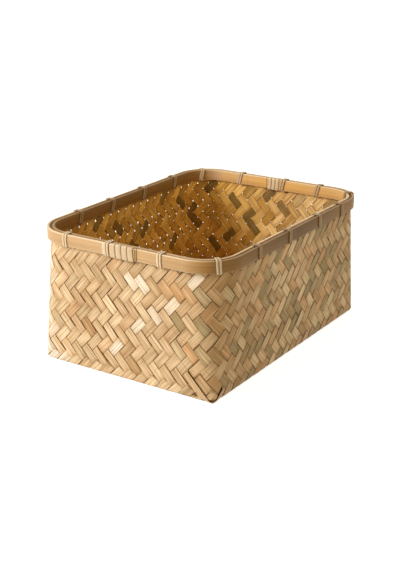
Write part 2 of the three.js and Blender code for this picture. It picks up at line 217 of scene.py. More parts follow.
def flat_strip_tree():
    """Sweeps a rounded flat section along paths that carry their own frame at each point."""
    tree = bpy.data.node_groups.new("flat_split_strip", "GeometryNodeTree")
    tree.is_modifier = True
    for label, kind in STRIP_SOCKETS.items():
        tree.interface.new_socket(label, in_out="INPUT", socket_type="NodeSocket" + kind)
    tree.interface.new_socket("Geometry", in_out="OUTPUT", socket_type="NodeSocketGeometry")
    net = Net(tree)
    given = tree.nodes.new("NodeGroupInput").outputs

    # The section: a circle opened out to a rounded rectangle, with points in the middle of its sides
    circle_inputs = {"Resolution": given["Section Points"], "Radius": 1.0}
    circle = net.add("GeometryNodeCurvePrimitiveCircle", circle_inputs).outputs["Curve"]
    place = net.add("GeometryNodeInputPosition").outputs[0]
    spot = net.parted(place)

    def opened(part, size):
        steep = net.times(part, SIDE_STEEPNESS)
        way = net.math("MAXIMUM", net.math("MINIMUM", steep, 1.0), -1.0)
        straight = net.math("SUBTRACT", net.times(size, 0.5), given["Edge Rounding"])
        return net.line(way, straight, net.times(part, given["Edge Rounding"]))

    section = net.store(circle, "across", "FLOAT", opened(spot["X"], given["Strip Width"]))
    section = net.store(section, "lift", "FLOAT", opened(spot["Y"], given["Strip Thickness"]))

    # The paths, which remember their own line
    paths = net.add("GeometryNodeMeshToCurve", {"Mesh": given["Geometry"]}).outputs[0]
    paths = net.store(paths, "line", "FLOAT_VECTOR", place)
    sweep_inputs = {"Curve": paths, "Profile Curve": section, "Fill Caps": True}
    swept = net.add("GeometryNodeCurveToMesh", sweep_inputs).outputs[0]

    # Each point leaves the line by its share of the half width, along a section that may be bowed
    reach = net.math("DIVIDE", net.read("across"), net.times(given["Strip Width"], 0.5))
    square = net.times(reach, reach)
    across = net.times(net.read("across"), net.read("width_share"))
    lift = net.times(net.read("lift"), net.read("thickness_share"))
    lift = net.line(net.read("cup"), net.math("SUBTRACT", 1.0, square), lift)
    leaving = net.moved(
        net.scaled(net.read("side", "FLOAT_VECTOR"), reach),
        net.scaled(net.read("bow", "FLOAT_VECTOR"), square),
    )
    moved = net.moved(net.read("line", "FLOAT_VECTOR"), leaving)
    moved = net.moved(moved, net.scaled(net.read("out", "FLOAT_VECTOR"), lift))
    shaped = net.add("GeometryNodeSetPosition", {"Geometry": swept, "Position": moved}).outputs[0]

    # Fibres follow a map in metres: along the strip, and across it
    flat = net.joined(net.read("along"), across, 0.0)
    shaped = net.store(shaped, "strip_uv", "FLOAT2", flat, domain="CORNER")
    shaped = net.store(shaped, "reach", "FLOAT", reach)
    angle = net.add("GeometryNodeInputMeshEdgeAngle").outputs["Unsigned Angle"]
    soft = net.math("LESS_THAN", angle, given["Sharp Angle"])
    soft_inputs = {"Geometry": shaped, "Shade Smooth": soft}
    shaped = net.add("GeometryNodeSetShadeSmooth", soft_inputs, domain="EDGE").outputs[0]
    real = net.add("GeometryNodeRealizeInstances", {"Geometry": shaped}).outputs[0]
    dressed = net.add("GeometryNodeSetMaterial", {"Geometry": real, "Material": given["Material"]})
    net.put(tree.nodes.new("NodeGroupOutput").inputs["Geometry"], dressed.outputs[0])
    return tree


# What a path carries at each point besides its place, and what the mesh has no more use for
PATH_FLOATS = [
    "width_share", "thickness_share", "cup", "along", "tone", "hue", "dive", "under", "passing",
    "gap_shade", "float_share", "seed", "growth_ring",
]
PATH_VECTORS = ["side", "bow", "out"]
NOT_KEPT = ["line", *PATH_VECTORS, "width_share", "thickness_share", "cup", "along"]


def strip_sizes(width, thickness, rounding, points, sharp_angle):
    return {
        "Strip Width": width * MM,
        "Strip Thickness": thickness * MM,
        "Edge Rounding": rounding * MM,
        "Section Points": points,
        "Sharp Angle": math.radians(sharp_angle),
    }


def make_strips(name, paths, sizes, material):
    """One mesh object of flat strips. A path is a dictionary of arrays with one row per point:
    its line, the half width across it as a vector, the bow of its section, and the way out."""
    counts = [len(path["line"]) for path in paths]
    places = np.concatenate([path["line"] for path in paths]) * MM
    edges = []
    start = 0
    for count in counts:
        edges.extend((start + i, start + i + 1) for i in range(count - 1))
        start += count
    mesh = bpy.data.meshes.new(name)
    mesh.from_pydata(places.tolist(), edges, [])
    for label in PATH_FLOATS:
        rows = [np.broadcast_to(path.get(label, 0.0), (count,)) for path, count in zip(paths, counts)]
        values = np.concatenate(rows).astype(np.float32)
        mesh.attributes.new(label, "FLOAT", "POINT").data.foreach_set("value", values)
    for label in PATH_VECTORS:
        rows = [path.get(label, np.zeros((count, 3))) for path, count in zip(paths, counts)]
        scale = 1.0 if label == "out" else MM
        values = (np.concatenate(rows) * scale).astype(np.float32).ravel()
        mesh.attributes.new(label, "FLOAT_VECTOR", "POINT").data.foreach_set("vector", values)
    piece = bpy.data.objects.new(name, mesh)
    bpy.context.scene.collection.objects.link(piece)
    modifier = piece.modifiers.new("strips", "NODES")
    modifier.node_group = STRIP_TREE
    values = {**sizes, "Material": material}
    for item in STRIP_TREE.interface.items_tree:
        if item.in_out == "INPUT" and item.name in values:
            modifier[item.identifier] = values[item.name]
    graph = bpy.context.evaluated_depsgraph_get()
    made = bpy.data.meshes.new_from_object(piece.evaluated_get(graph))
    made.name = name
    piece.modifiers.clear()
    piece.data = made
    for label in NOT_KEPT:
        spare = made.attributes.get(label)
        if spare:
            made.attributes.remove(spare)
    return piece


def unit(rows):
    return rows / np.linalg.norm(rows, axis=-1, keepdims=True)


def lengths_along(line):
    steps = np.linalg.norm(np.diff(line, axis=0), axis=1)
    return np.concatenate([[0.0], np.cumsum(steps)])


# How far apart the cane's growth rings are, where its first lies, and how long a strip may be
RING_STEP = (230, 330)
FIRST_RING = (-260, 40)
LONGEST_STRIP = 900
RING_SIDE_STEP = 0.01


def growth_rings():
    """Signed distance from the nearest growth ring of the cane, as a table along a strip."""
    spots = [dice.uniform(*FIRST_RING)]
    while spots[-1] < LONGEST_STRIP:
        spots.append(spots[-1] + dice.uniform(*RING_STEP))
    along = []
    away = []
    for near, far in zip(spots, spots[1:]):
        middle = (near + far) / 2
        along.extend([near, middle - RING_SIDE_STEP, middle + RING_SIDE_STEP])
        away.extend([0.0, (far - near) / 2, (near - far) / 2])
    return along, away


# The plaited body


def ring_place(cell_x, cell_y, inset, climb, depth):
    """Place on the body for a lattice spot that lies inset cells inside the foot's outline, or on
    it. climb is the way up the wall from the fold, negative on the base. depth is the way in from
    the outer face."""
    on_base = climb < 0
    sharp_x = (HALF_LONG - inset) * CELL_X
    sharp_y = (HALF_WIDE - inset) * CELL_Y
    x = np.abs(cell_x) * CELL_X
    y = np.abs(cell_y) * CELL_Y
    on_long_side = (HALF_WIDE - np.abs(cell_y)) <= (HALF_LONG - np.abs(cell_x))
    quarter = np.where(on_long_side, x, sharp_x + sharp_y - y) / np.maximum(sharp_x + sharp_y, TINY)

    # Height and way inwards: flat base, fold, wall
    turn = np.clip((climb + FOLD_RADIUS) / (2 * FOLD_RADIUS), 0, 1) * QUARTER_TURN
    bend = FOLD_RADIUS - depth
    fold_z = np.where(climb < -FOLD_RADIUS, depth, FOLD_RADIUS - bend * np.cos(turn))
    z = np.where(climb > FOLD_RADIUS, climb, fold_z)
    fold_inward = FOLD_RADIUS - bend * np.sin(turn) + np.minimum(climb, 0)
    inward = np.where(climb > FOLD_RADIUS, depth, np.where(climb < -FOLD_RADIUS, 0, fold_inward))

    # The rounded ring at that height, followed from the middle of a long side to that of an end
    share = np.clip(z / STRAIGHT_FROM, 0, 1)
    half_x = np.where(on_base, sharp_x, (FOOT_LENGTH + (RIM_LENGTH - FOOT_LENGTH) * share) / 2)
    half_y = np.where(on_base, sharp_y, (FOOT_WIDTH + (RIM_WIDTH - FOOT_WIDTH) * share) / 2)
    wall_radius = FOOT_CORNER + (RIM_CORNER - FOOT_CORNER) * share
    radius = np.where(on_base, np.maximum(FOOT_CORNER + climb, 0), wall_radius)
    run = quarter * (half_x + half_y - 2 * radius + QUARTER_TURN * radius)
    arc = np.clip(run - (half_x - radius), 0, QUARTER_TURN * radius)
    past = np.maximum(run - (half_x - radius) - QUARTER_TURN * radius, 0)
    angle = np.where(past > 0, QUARTER_TURN, arc / np.maximum(radius, TINY))
    px = np.minimum(run, half_x - radius) + (radius - inward) * np.sin(angle)
    py = half_y - radius + (radius - inward) * np.cos(angle) - past
    return np.stack([np.copysign(px, cell_x), np.copysign(py, cell_y), z], axis=-1)


def base_spot(strip, at, lane=0):
    """Lattice spot of a strip at a crossing number, as if the base went on for ever."""
    own = strip["number"] + lane
    y = (own - at) / 2 if strip["family"] == "first" else (at - own) / 2
    return (own + at + 1) / 2, y


def net_place(strip, at, lane, depth):
    """Place of a strip at a crossing number, moved sideways by a number of lanes."""
    x, y = base_spot(strip, at, lane)
    fold_high = strip["fold_high"] + lane * strip["sign_high"]
    fold_low = strip["fold_low"] + lane * strip["sign_low"]
    high = at > fold_high
    low = at < fold_low
    up = np.where(high, at - fold_high, np.where(low, fold_low - at, 0)) / 2
    side = np.where(high, strip["side_high"], strip["side_low"])
    round_wall = np.select(
        [side == "front", side == "right", side == "back"],
        [x + HALF_LONG, CELLS_LONG + y + HALF_WIDE, CELLS_LONG + CELLS_WIDE + HALF_LONG - x],
        2 * CELLS_LONG + CELLS_WIDE + HALF_WIDE - y,
    )
    wall_x, wall_y = foot_spot(np.mod(round_wall, CELLS_ROUND))
    on_wall = high | low
    spot_x = np.where(on_wall, wall_x, x)
    spot_y = np.where(on_wall, wall_y, y)
    inside_by = np.minimum(HALF_LONG - np.abs(spot_x), HALF_WIDE - np.abs(spot_y))
    inset = np.where(on_wall, 0.0, np.maximum(inside_by, 0.0))
    climb = np.where(on_wall, up * CELL_Z, -inset * FOLD_CELL)
    return ring_place(spot_x, spot_y, inset, climb, depth)


def foot_spot(round_wall):
    """Lattice spot on the foot's outline at a number of cells round it from the front left corner."""
    ends = [CELLS_LONG, CELLS_LONG + CELLS_WIDE, 2 * CELLS_LONG + CELLS_WIDE]
    on_side = [round_wall < end for end in ends]
    level = 0 * round_wall
    x_runs = [round_wall - HALF_LONG, HALF_LONG + level, HALF_LONG - (round_wall - ends[1])]
    y_runs = [level - HALF_WIDE, round_wall - ends[0] - HALF_WIDE, HALF_WIDE + level]
    y_last = HALF_WIDE - (round_wall - ends[2])
    return np.select(on_side, x_runs, -HALF_LONG), np.select(on_side, y_runs, y_last)


def strip_outline(family, number):
    """Where a strip folds up at its two ends, and where it is cut off under the rim."""
    if family == "first":
        highs = {"front": number + CELLS_WIDE, "right": CELLS_LONG - 1 - number}
        lows = {"back": number - CELLS_WIDE, "left": -CELLS_LONG - 1 - number}
    else:
        highs = {"right": CELLS_LONG - 1 - number, "back": number + CELLS_WIDE}
        lows = {"front": number - CELLS_WIDE, "left": -CELLS_LONG - 1 - number}
    side_high = min(highs, key=highs.get)
    side_low = max(lows, key=lows.get)
    climb = 2 * WEAVE_TOP / CELL_Z
    strip = {"family": family, "number": number}
    for end, side, folds in (("_high", side_high, highs), ("_low", side_low, lows)):
        strip["side" + end] = side
        strip["sign" + end] = 1 if side in ("front", "back") else -1
        strip["fold" + end] = folds[side]
    strip["corner_high"] = max(highs.values())
    strip["corner_low"] = min(lows.values())
    strip["cut_high"] = strip["fold_high"] + climb
    strip["cut_low"] = strip["fold_low"] - climb
    return strip


# Crossings at the front left corner of the base where the strips have changed places: there a
# strip stays outside right round the corner
SWAPPED = {("first", -18, -5), ("second", -5, -18), ("first", -18, -4), ("second", -4, -18)}
CORNER_STRIP = ("first", -18)


def is_outside(strip, at):
    """Whether a strip passes on the body's outside at a crossing number."""
    if at >= strip["fold_high"]:
        side = strip["side_high"]
        step = at - strip["fold_high"]
    elif at <= strip["fold_low"]:
        side = strip["side_low"]
        step = strip["fold_low"] - at
    else:
        x, y = base_spot(strip, at)
        to_long = HALF_WIDE - abs(y)
        to_end = HALF_LONG - abs(x)
        side = "front" if to_long < to_end else "right"
        step = -round(2 * min(to_long, to_end))
    rising = (strip["family"] == "first") == (side in ("front", "back"))
    swapped = (strip["family"], strip["number"], at) in SWAPPED
    return ((step % 4 in (0, 1)) == rising) != swapped


# Floats that stand out, by shade. Tone runs from dark to pale, and hue is green below zero and
# orange above it. A float is known by its strip's number and the crossing in its middle
BLEACHED = {"tone": 1.1, "hue": -0.05}
AMBER = {"tone": 0.3, "hue": 0.42}
OLIVE = {"tone": 0.3, "hue": -0.5}
BROWN = {"tone": -0.1, "hue": -0.55}
DULL = {"tone": 0.2, "hue": -0.36}
KHAKI = {"tone": 0.6, "hue": -0.29}
SHADED_FLOATS = [
    (BLEACHED, "second", [(-3, -32.5), (-2, -31.5), (-3, -28.5), (-13, -21.5), (-14, -16.5)]),
    (BLEACHED, "second", [(-14, -12.5), (-13, -25.5)]),
    (AMBER, "second", [(-2, -23.5), (-6, -32.5)]),
    (OLIVE, "second", [(1, -24.5), (-4, -34.5), (-4, -30.5), (-4, -26.5), (17, -8.5), (2, -19.5)]),
    (OLIVE, "first", [(-10, 13.5), (-10, 9.5)]),
    (BROWN, "second", [(7, 27.5), (-5, 22.5), (7, 23.5), (-6, 17.5), (-12, 15.5), (7, 19.5)]),
    (BROWN, "second", [(-5, 26.5), (13, 21.5), (1, 32.5), (1, 28.5), (13, 17.5), (1, 24.5)]),
    (BROWN, "first", [(13, -16.5), (13, -12.5)]),
    (DULL, "first", [(2, 31.5), (2, 35.6), (-5, -33.5)]),
    (DULL, "second", [(-11, 20.5)]),
    (KHAKI, "first", [(13, 23.5)]),
]
STANDING_OUT = {
    (*CORNER_STRIP, -4.5): {"tone": 0.62, "hue": 0.0, "tilt": 0.24},
    ("first", -11, -17.5): {"tone": 0.02, "hue": 0.1},
}
for shade, family, spots in SHADED_FLOATS:
    for number, middle in spots:
        STANDING_OUT[family, number, middle] = shade

# Middle and spread of a strip's tone and hue, how far its floats differ from it and how pale they
# may be, and how dark the painted shade in the gaps beside them is
STRIP_TONE = (0.5, 0.12)
STRIP_HUE = (-0.01, 0.09)
FLOAT_TONE = (0, 0.15)
FLOAT_HUE = (0, 0.09)
FLOAT_TILT = (0, 0.028)
TILT_REACH = 0.04
PALEST = 0.92
PALE_DRIFT = 0.3
PAINTED_GAP_SHADE = (1.05, 0.6)
FAINTEST_GAP_SHADE = 0.1

# How strongly the floats differ on each side of the body, and how dark the painted shade in the
# gaps is there
PLAIN_SIDE = {"hue_contrast": 1.0, "hue_reach": 0.22, "depth": 1.0}
SIDE_LOOKS = {
    "front": {"contrast": 2.1, "hue_contrast": 1.3, "hue_reach": 0.36, "depth": 1.7},
    "right": {"contrast": 1.0, **PLAIN_SIDE},
    "back": {"contrast": 1.2, **PLAIN_SIDE},
    "left": {"contrast": 0.75, **PLAIN_SIDE},
}

# How the tone drifts along the ends, along the sides and near the foot, in millimetres
ENDS_FROM = 150
SIDES_FROM = 100
LEFT_DRIFT = [(-116, -85, -20, 60, 85, 100, 112), (-0.35, -0.1, 0.0, 0.06, 0.18, 0.42, 0.66)]
RIGHT_DRIFT = [(-110, -20, 60), (0.45, 0.15, 0.0)]
BACK_DRIFT = [(-160, -100), (0.42, 0.0)]
FRONT_DRIFT = [(-166, -130, -90, -40, 40, 110, 166), (-0.42, -0.4, -0.15, 0.16, 0.24, 0.02, 0.05)]
FOOT_DRIFT = [(0, 45, 80), (0.24, 0.15, 0.0)]

# How open the plait is lengthways and crossways, where its gaps are more even, and where the
# strips of one direction lie closer together
OPEN_LENGTHWAYS = [(-165, -120, 120, 155, 166), (0.95, 1.0, 1.0, 0.8, 0.6)]
OPEN_CROSSWAYS = [(-118, -100, 90, 116), (0.85, 1.0, 1.0, 1.1)]
EVEN_LENGTHWAYS = [(120, 160), (0, 1)]
EVEN_CROSSWAYS = [(80, 112), (0, 1)]
EVEN_UPWARDS = [(3, 25), (0, 1)]
EVEN_OFF_LEFT_END = [(-160, -140), (0, 1)]
EVEN_GAP = 1.35
CLOSER_LENGTHWAYS = [(-160, -145), (1, 0)]
CLOSER_SHARE = 0.6

# How much narrower than its lane a strip is, how often one is made of two splints, how far askew
# one lies, and how dark the painted shade on its edges and where it dives is
LANES = {
    "first": {
        "gap": (1.3, 0.3), "doubled": 0.3, "askew": (0, 0.4), "edge_shade": 0.8, "dive_shade": 0.25,
    },
    "second": {
        "gap": (0.6, 0.15), "doubled": 0.12, "askew": (0, 0.26), "edge_shade": 0.25, "dive_shade": 0.7,
    },
}

# Least and greatest width of a lane, the steps that it is measured by, and how gaps come and go
LANE_WIDTHS = (9.5, 12.4)
LANE_STEP = 0.25
HEADING_STEP = 0.05
LEAST_GAP = 0.25
GAP_WAVE = 0.35
GAP_WAVE_RATE = 0.45

# How far a strip wanders from the middle of its lane, and lies askew over the length of a float
WANDER = 0.18
WANDER_RATE = 0.31
ASKEW_REACH = 0.5
ASKEW_OVERHANG = 0.7
EVEN_ASKEW = 0.6

# A strip made of two splints: where it is split, the slit, and how the splints differ
SPLIT_SHARES = (0.36, 0.64)
SLIT = 0.22
SPLINT_TILT = (0, 0.012)
SPLINT_TONE = (0, 0.03)

# How thick a strip may be, how far its side falls for its lower edge to take the most painted
# shade, and from which tilt and height a strip turns on its lower edge
THICKNESS_SHARES = (0.9, 1.08)
UNDER_FALL = 1.5
MOST_TILT = 0.09
TURNED_UP_FROM = [(2, 9), (0, 1)]

# Where a strip gets its sections, in crossings, and how far its level sections ease off
TURN_SHARE = 0.28
TURN_STATIONS = (-0.25, -0.14, 0.0, 0.14, 0.25)
FOLD_STATIONS = (-0.5, -0.25, 0.0, 0.25, 0.5)
CORNER_STATIONS = (-1.0, -0.75, -0.5, -0.25, 0.0, 0.25, 0.5, 0.75, 1.0)
CORNER_REACH = 6
LEAST_STATION_STEP = 0.08
FOLD_FULL = 0.62
FOLD_NONE = 1.7
FOLD_EASE = 0.5
CUT_EASING = (0.1, 1.2)


def runs_of(strip):
    """Stretches of a strip that stay outside or inside, as (first, last, outside)."""
    first = math.ceil(strip["cut_low"])
    last = math.floor(strip["cut_high"])
    runs = []
    for at in range(first, last + 1):
        outside = is_outside(strip, at)
        if runs and runs[-1][2] == outside:
            runs[-1][1] = at
        else:
            runs.append([at, at, outside])
    runs[0][0] = strip["cut_low"]
    runs[-1][1] = strip["cut_high"]
    return runs


def strip_stations(strip, runs):
    """Crossing numbers where a strip gets a section: its turns, its folds, the middles of its floats."""
    cut_low = strip["cut_low"]
    cut_high = strip["cut_high"]
    spots = [cut_low, cut_high]
    spots.extend((first + last) / 2 for first, last, _ in runs)
    for run in runs[1:]:
        spots.extend(run[0] - 0.5 + step for step in TURN_STATIONS)
    for end in ("low", "high"):
        fold = strip["fold_" + end]
        corner = strip["corner_" + end]
        spots.extend(fold + step for step in FOLD_STATIONS)
        if abs(corner - fold) < CORNER_REACH:
            spots.extend(corner + step for step in CORNER_STATIONS)
    spots = sorted(spot for spot in spots if cut_low <= spot <= cut_high)
    kept = [spots[0]]
    for spot in spots[1:-1]:
        if spot - kept[-1] > LEAST_STATION_STEP:
            kept.append(spot)
    if spots[-1] - kept[-1] < LEAST_STATION_STEP:
        kept.pop()
    kept.append(spots[-1])
    return np.array(kept)


def over_under(runs, at):
    """1 where a strip is outside, -1 where it is inside, with a smooth turn between."""
    lift = np.full(np.shape(at), 1.0 if runs[0][2] else -1.0)
    for run in runs[1:]:
        boundary = run[0] - 0.5
        step = np.clip((at - boundary) / TURN_SHARE + 0.5, 0, 1)
        aim = 1.0 if run[2] else -1.0
        turned = -aim + 2 * aim * step * step * (3 - 2 * step)
        lift = np.where(at > boundary - TURN_SHARE / 2, turned, lift)
    return lift


def easing(at, spot, full, none):
    """1 within full of a spot and 0 beyond none."""
    return np.clip((none - np.abs(at - spot)) / (none - full), 0, 1)


def section_skew(strip, at):
    """1 or -1 where a section lies level, on the folds and at the cut ends, and 0 where it is
    square to the strip."""
    on_base = (at > strip["fold_low"]) & (at < strip["fold_high"])
    half_base = (strip["fold_high"] - strip["fold_low"]) / 2
    none = np.where(on_base, min(FOLD_NONE, half_base), FOLD_NONE)
    full = np.minimum(FOLD_FULL, none - FOLD_EASE)
    skew = np.zeros(len(at))
    for end in ("high", "low"):
        on_fold = easing(at, strip["fold_" + end], full, none)
        at_cut = easing(at, strip["cut_" + end], *CUT_EASING)
        skew += strip["sign_" + end] * (on_fold + at_cut)
    return np.clip(skew, -1, 1)


def tone_drift(place, outside):
    """How much paler or darker than usual the strips are at a place on the body."""
    x, y, z = place
    if x < -ENDS_FROM:
        return np.interp(y, *LEFT_DRIFT) + np.interp(z, *FOOT_DRIFT)
    if y < -SIDES_FROM:
        return np.interp(x, *FRONT_DRIFT) + np.interp(z, *FOOT_DRIFT)
    if x > ENDS_FROM:
        return np.interp(y, *RIGHT_DRIFT)
    if y > SIDES_FROM and outside:
        return np.interp(x, *BACK_DRIFT)
    return 0.0


def float_look(strip, run, base_tone, base_hue):
    """Tone, hue and tilt of one float of a strip, and how dark the painted shade in the gaps beside it is.
    """
    first, last, outside = run
    middle = (first + last) / 2
    is_high = middle > (strip["fold_low"] + strip["fold_high"]) / 2
    looks = SIDE_LOOKS[strip["side_high"] if is_high else strip["side_low"]]
    drift = tone_drift(net_place(strip, np.array([middle]), 0, 0.0)[0], outside)
    tone = base_tone + dice.gauss(*FLOAT_TONE) * looks["contrast"] + drift
    hue = base_hue + dice.gauss(*FLOAT_HUE) * looks["contrast"] * looks["hue_contrast"]
    look = {
        "tone": min(tone, PALEST + max(drift - PALE_DRIFT, 0)),
        "hue": limited(hue, looks["hue_reach"]),
        "tilt": limited(dice.gauss(*FLOAT_TILT), TILT_REACH),
        # depth is the strength of the painted shade in the gaps beside the float
        "depth": max(gap_dice.gauss(*PAINTED_GAP_SHADE), FAINTEST_GAP_SHADE) * looks["depth"],
    }
    own = STANDING_OUT.get((strip["family"], strip["number"], round(middle, 1)), {})
    return {**look, **own}


def lie_in_lane(strip, runs, at):
    """How wide a strip's lane is, how far the strip wanders in it, how wide the strip is and how
    close to its neighbours it lies."""
    lane = LANES[strip["family"]]
    level = WALL / 2
    ahead = net_place(strip, at + HEADING_STEP, 0, level)
    heading = unit(ahead - net_place(strip, at - HEADING_STEP, 0, level))
    beside = net_place(strip, at, LANE_STEP, level) - net_place(strip, at, -LANE_STEP, level)
    square = np.linalg.norm(np.cross(beside, heading), axis=1)
    pitch = np.clip(square / (2 * LANE_STEP), *LANE_WIDTHS)

    # The gap is more even in some places, and more open in others
    gap_wave, wander_wave = [dice.uniform(0, 2 * math.pi) for _ in range(2)]
    gap = max(LEAST_GAP, dice.gauss(*lane["gap"]))
    gap = gap * (1 + GAP_WAVE * np.sin(at * GAP_WAVE_RATE + gap_wave))
    x, y, z = net_place(strip, at, 0, level).T
    even = np.maximum(np.interp(x, *EVEN_LENGTHWAYS), np.interp(y, *EVEN_CROSSWAYS))
    even = even * np.interp(z, *EVEN_UPWARDS) * np.interp(x, *EVEN_OFF_LEFT_END)
    openness = np.interp(x, *OPEN_LENGTHWAYS) * np.interp(y, *OPEN_CROSSWAYS)
    gap = (gap * (1 - even) + EVEN_GAP * even) * openness

    # On the left end, the strips that come round the back corner lie closer together
    closer = np.ones(len(at))
    if strip["family"] == "first":
        contrary = np.clip(-2 * heading[:, 1] * heading[:, 2], 0, 1)
        closer = 1 - CLOSER_SHARE * contrary * np.interp(x, *CLOSER_LENGTHWAYS)

    # Each float lies a little askew, from one of its ends to the other
    ends = []
    for first, last, _ in runs:
        half = (last - first + ASKEW_OVERHANG) / 2
        ends.extend([(first + last) / 2 - half, (first + last) / 2 + half])
    moves = [limited(dice.gauss(*lane["askew"]), ASKEW_REACH) for _ in ends]
    wander = WANDER * np.sin(at * WANDER_RATE + wander_wave)
    wander = wander + np.interp(at, ends, moves) * (1 - EVEN_ASKEW * even)
    return pitch, wander / pitch, pitch - gap * closer, closer


def strip_paths(family, number):
    """One strip of the plait, or the two splints it is made of, as paths."""
    strip = strip_outline(family, number)
    lane = LANES[family]
    runs = runs_of(strip)
    at = strip_stations(strip, runs)
    skew = section_skew(strip, at)
    lift = over_under(runs, at)

    # Tone and tilt change from float to float
    base_tone = dice.gauss(*STRIP_TONE)
    base_hue = dice.gauss(*STRIP_HUE)
    floats = [float_look(strip, run, base_tone, base_hue) for run in runs]
    index = np.zeros(len(at), int)
    for turn, run in enumerate(runs[1:], start=1):
        index = np.where(at > run[0] - 0.5, turn, index)
    tone, hue, depth, tilt = (
        np.array([floats[i][label] for i in index]) for label in ("tone", "hue", "depth", "tilt")
    )
    tilt = tilt * np.abs(lift)
    middles = np.array([(first + last) / 2 for first, last, _ in runs])
    halves = np.array([(last - first + 1) / 2 for first, last, _ in runs])
    float_share = np.clip(np.abs(at - middles[index]) / halves[index], 0, 1)
    pitch, wander, width, closer = lie_in_lane(strip, runs, at)

    def edge_line(lanes):
        spot = at + skew * lanes
        return net_place(strip, spot, lanes, WALL / 2 - STRIP_LIFT * over_under(runs, spot))

    rings = growth_rings()
    splints = [(0.0, 1.0, 0.0)]
    if dice.random() < lane["doubled"] and (family, number) != CORNER_STRIP:
        cut = dice.uniform(*SPLIT_SHARES)
        splints = [(-(1 - cut) / 2, cut, SLIT), (cut / 2, 1 - cut, SLIT)]
    paths = []
    for offset, share, slit in splints:
        half = (width * share - slit) / 2
        centre = wander + offset * width / pitch
        line = edge_line(centre)
        before = edge_line(centre - half / pitch)
        after = edge_line(centre + half / pitch)
        side = (after - before) / 2
        bow = (after + before) / 2 - line
        if family == "first":
            side = -side
        if slit:
            tilt = tilt + dice.gauss(*SPLINT_TILT)
            tone = tone + dice.gauss(*SPLINT_TONE)
        out = unit(np.cross(unit(np.gradient(line, axis=0)), side))
        side = side + out * (half * tilt)[:, None]

        # On a wall, a strip that stands well up turns on its lower edge
        standing = half * np.maximum(tilt - MOST_TILT, 0) * np.interp(line[:, 2], *TURNED_UP_FROM)
        line = line + out * standing[:, None]
        along = lengths_along(line)
        paths.append({
            "line": line,
            "side": side,
            "bow": bow,
            "out": out,
            "width_share": half * 2 / STRIP_WIDTH,
            "thickness_share": dice.uniform(*THICKNESS_SHARES),
            "cup": lift * STRIP_CUP * share * MM,
            "along": along * MM,
            "tone": tone,
            "hue": hue,
            # dive and gap_shade are the strength of painted shade where a strip dives under a neighbour and
            # in the gaps beside it; under tells which edge is lower and takes more of it
            "dive": (1 - np.abs(lift)) * lane["dive_shade"] * depth,
            "passing": lift,
            "gap_shade": lane["edge_shade"] * depth * closer,
            "float_share": float_share,
            "under": np.clip(-side[:, 2] / UNDER_FALL, -1, 1),
            "seed": dice.uniform(0, SEED_SPAN),
            "growth_ring": np.interp(along, *rings),
        })
    return paths


# The rim's line

SIDE_X = RIM_LENGTH - 2 * RIM_CORNER
SIDE_Y = RIM_WIDTH - 2 * RIM_CORNER
CORNER_ARC = QUARTER_TURN * RIM_CORNER
RIM_ROUND = 2 * (SIDE_X + SIDE_Y) + 4 * CORNER_ARC
SIDE_MIDDLES = {
    "right_end": 0.0,
    "back_side": RIM_ROUND / 4,
    "left_end": RIM_ROUND / 2,
    "front_side": RIM_ROUND * 3 / 4,
}
CORNER_STARTS = {
    "back_right_corner": SIDE_Y / 2,
    "back_left_corner": SIDE_Y / 2 + CORNER_ARC + SIDE_X,
    "front_left_corner": RIM_ROUND / 2 + SIDE_Y / 2,
    "front_right_corner": RIM_ROUND / 2 + SIDE_Y / 2 + CORNER_ARC + SIDE_X,
}


def rim_spot(distance):
    """Place on the wall's outer face at a distance round the rim, and the way outward there."""
    left = distance % RIM_ROUND
    x = RIM_LENGTH / 2
    y = 0.0
    face = 0.0
    for run in [SIDE_Y / 2, None, SIDE_X, None, SIDE_Y, None, SIDE_X, None, SIDE_Y / 2]:
        part = min(left, CORNER_ARC if run is None else run)
        if run is None:
            turned = part / RIM_CORNER
            x += RIM_CORNER * (math.cos(face + turned) - math.cos(face))
            y += RIM_CORNER * (math.sin(face + turned) - math.sin(face))
            face += turned
        else:
            x -= part * math.sin(face)
            y += part * math.cos(face)
        left -= part
        if left <= 0:
            break
    return np.array([x, y, 0.0]), np.array([math.cos(face), math.sin(face), 0.0])


def rise(start, end, at):
    share = min(max((at - start) / (end - start), 0.0), 1.0)
    return share * share * (3 - 2 * share)


def light_and_shade_round(tones):
    """A hoop's tone round the rim from the middle of the right end, as a table, mostly painted light and
    shade.
    """
    places, shades = zip(*tones)
    return [*places, RIM_ROUND], [*shades, shades[0]]


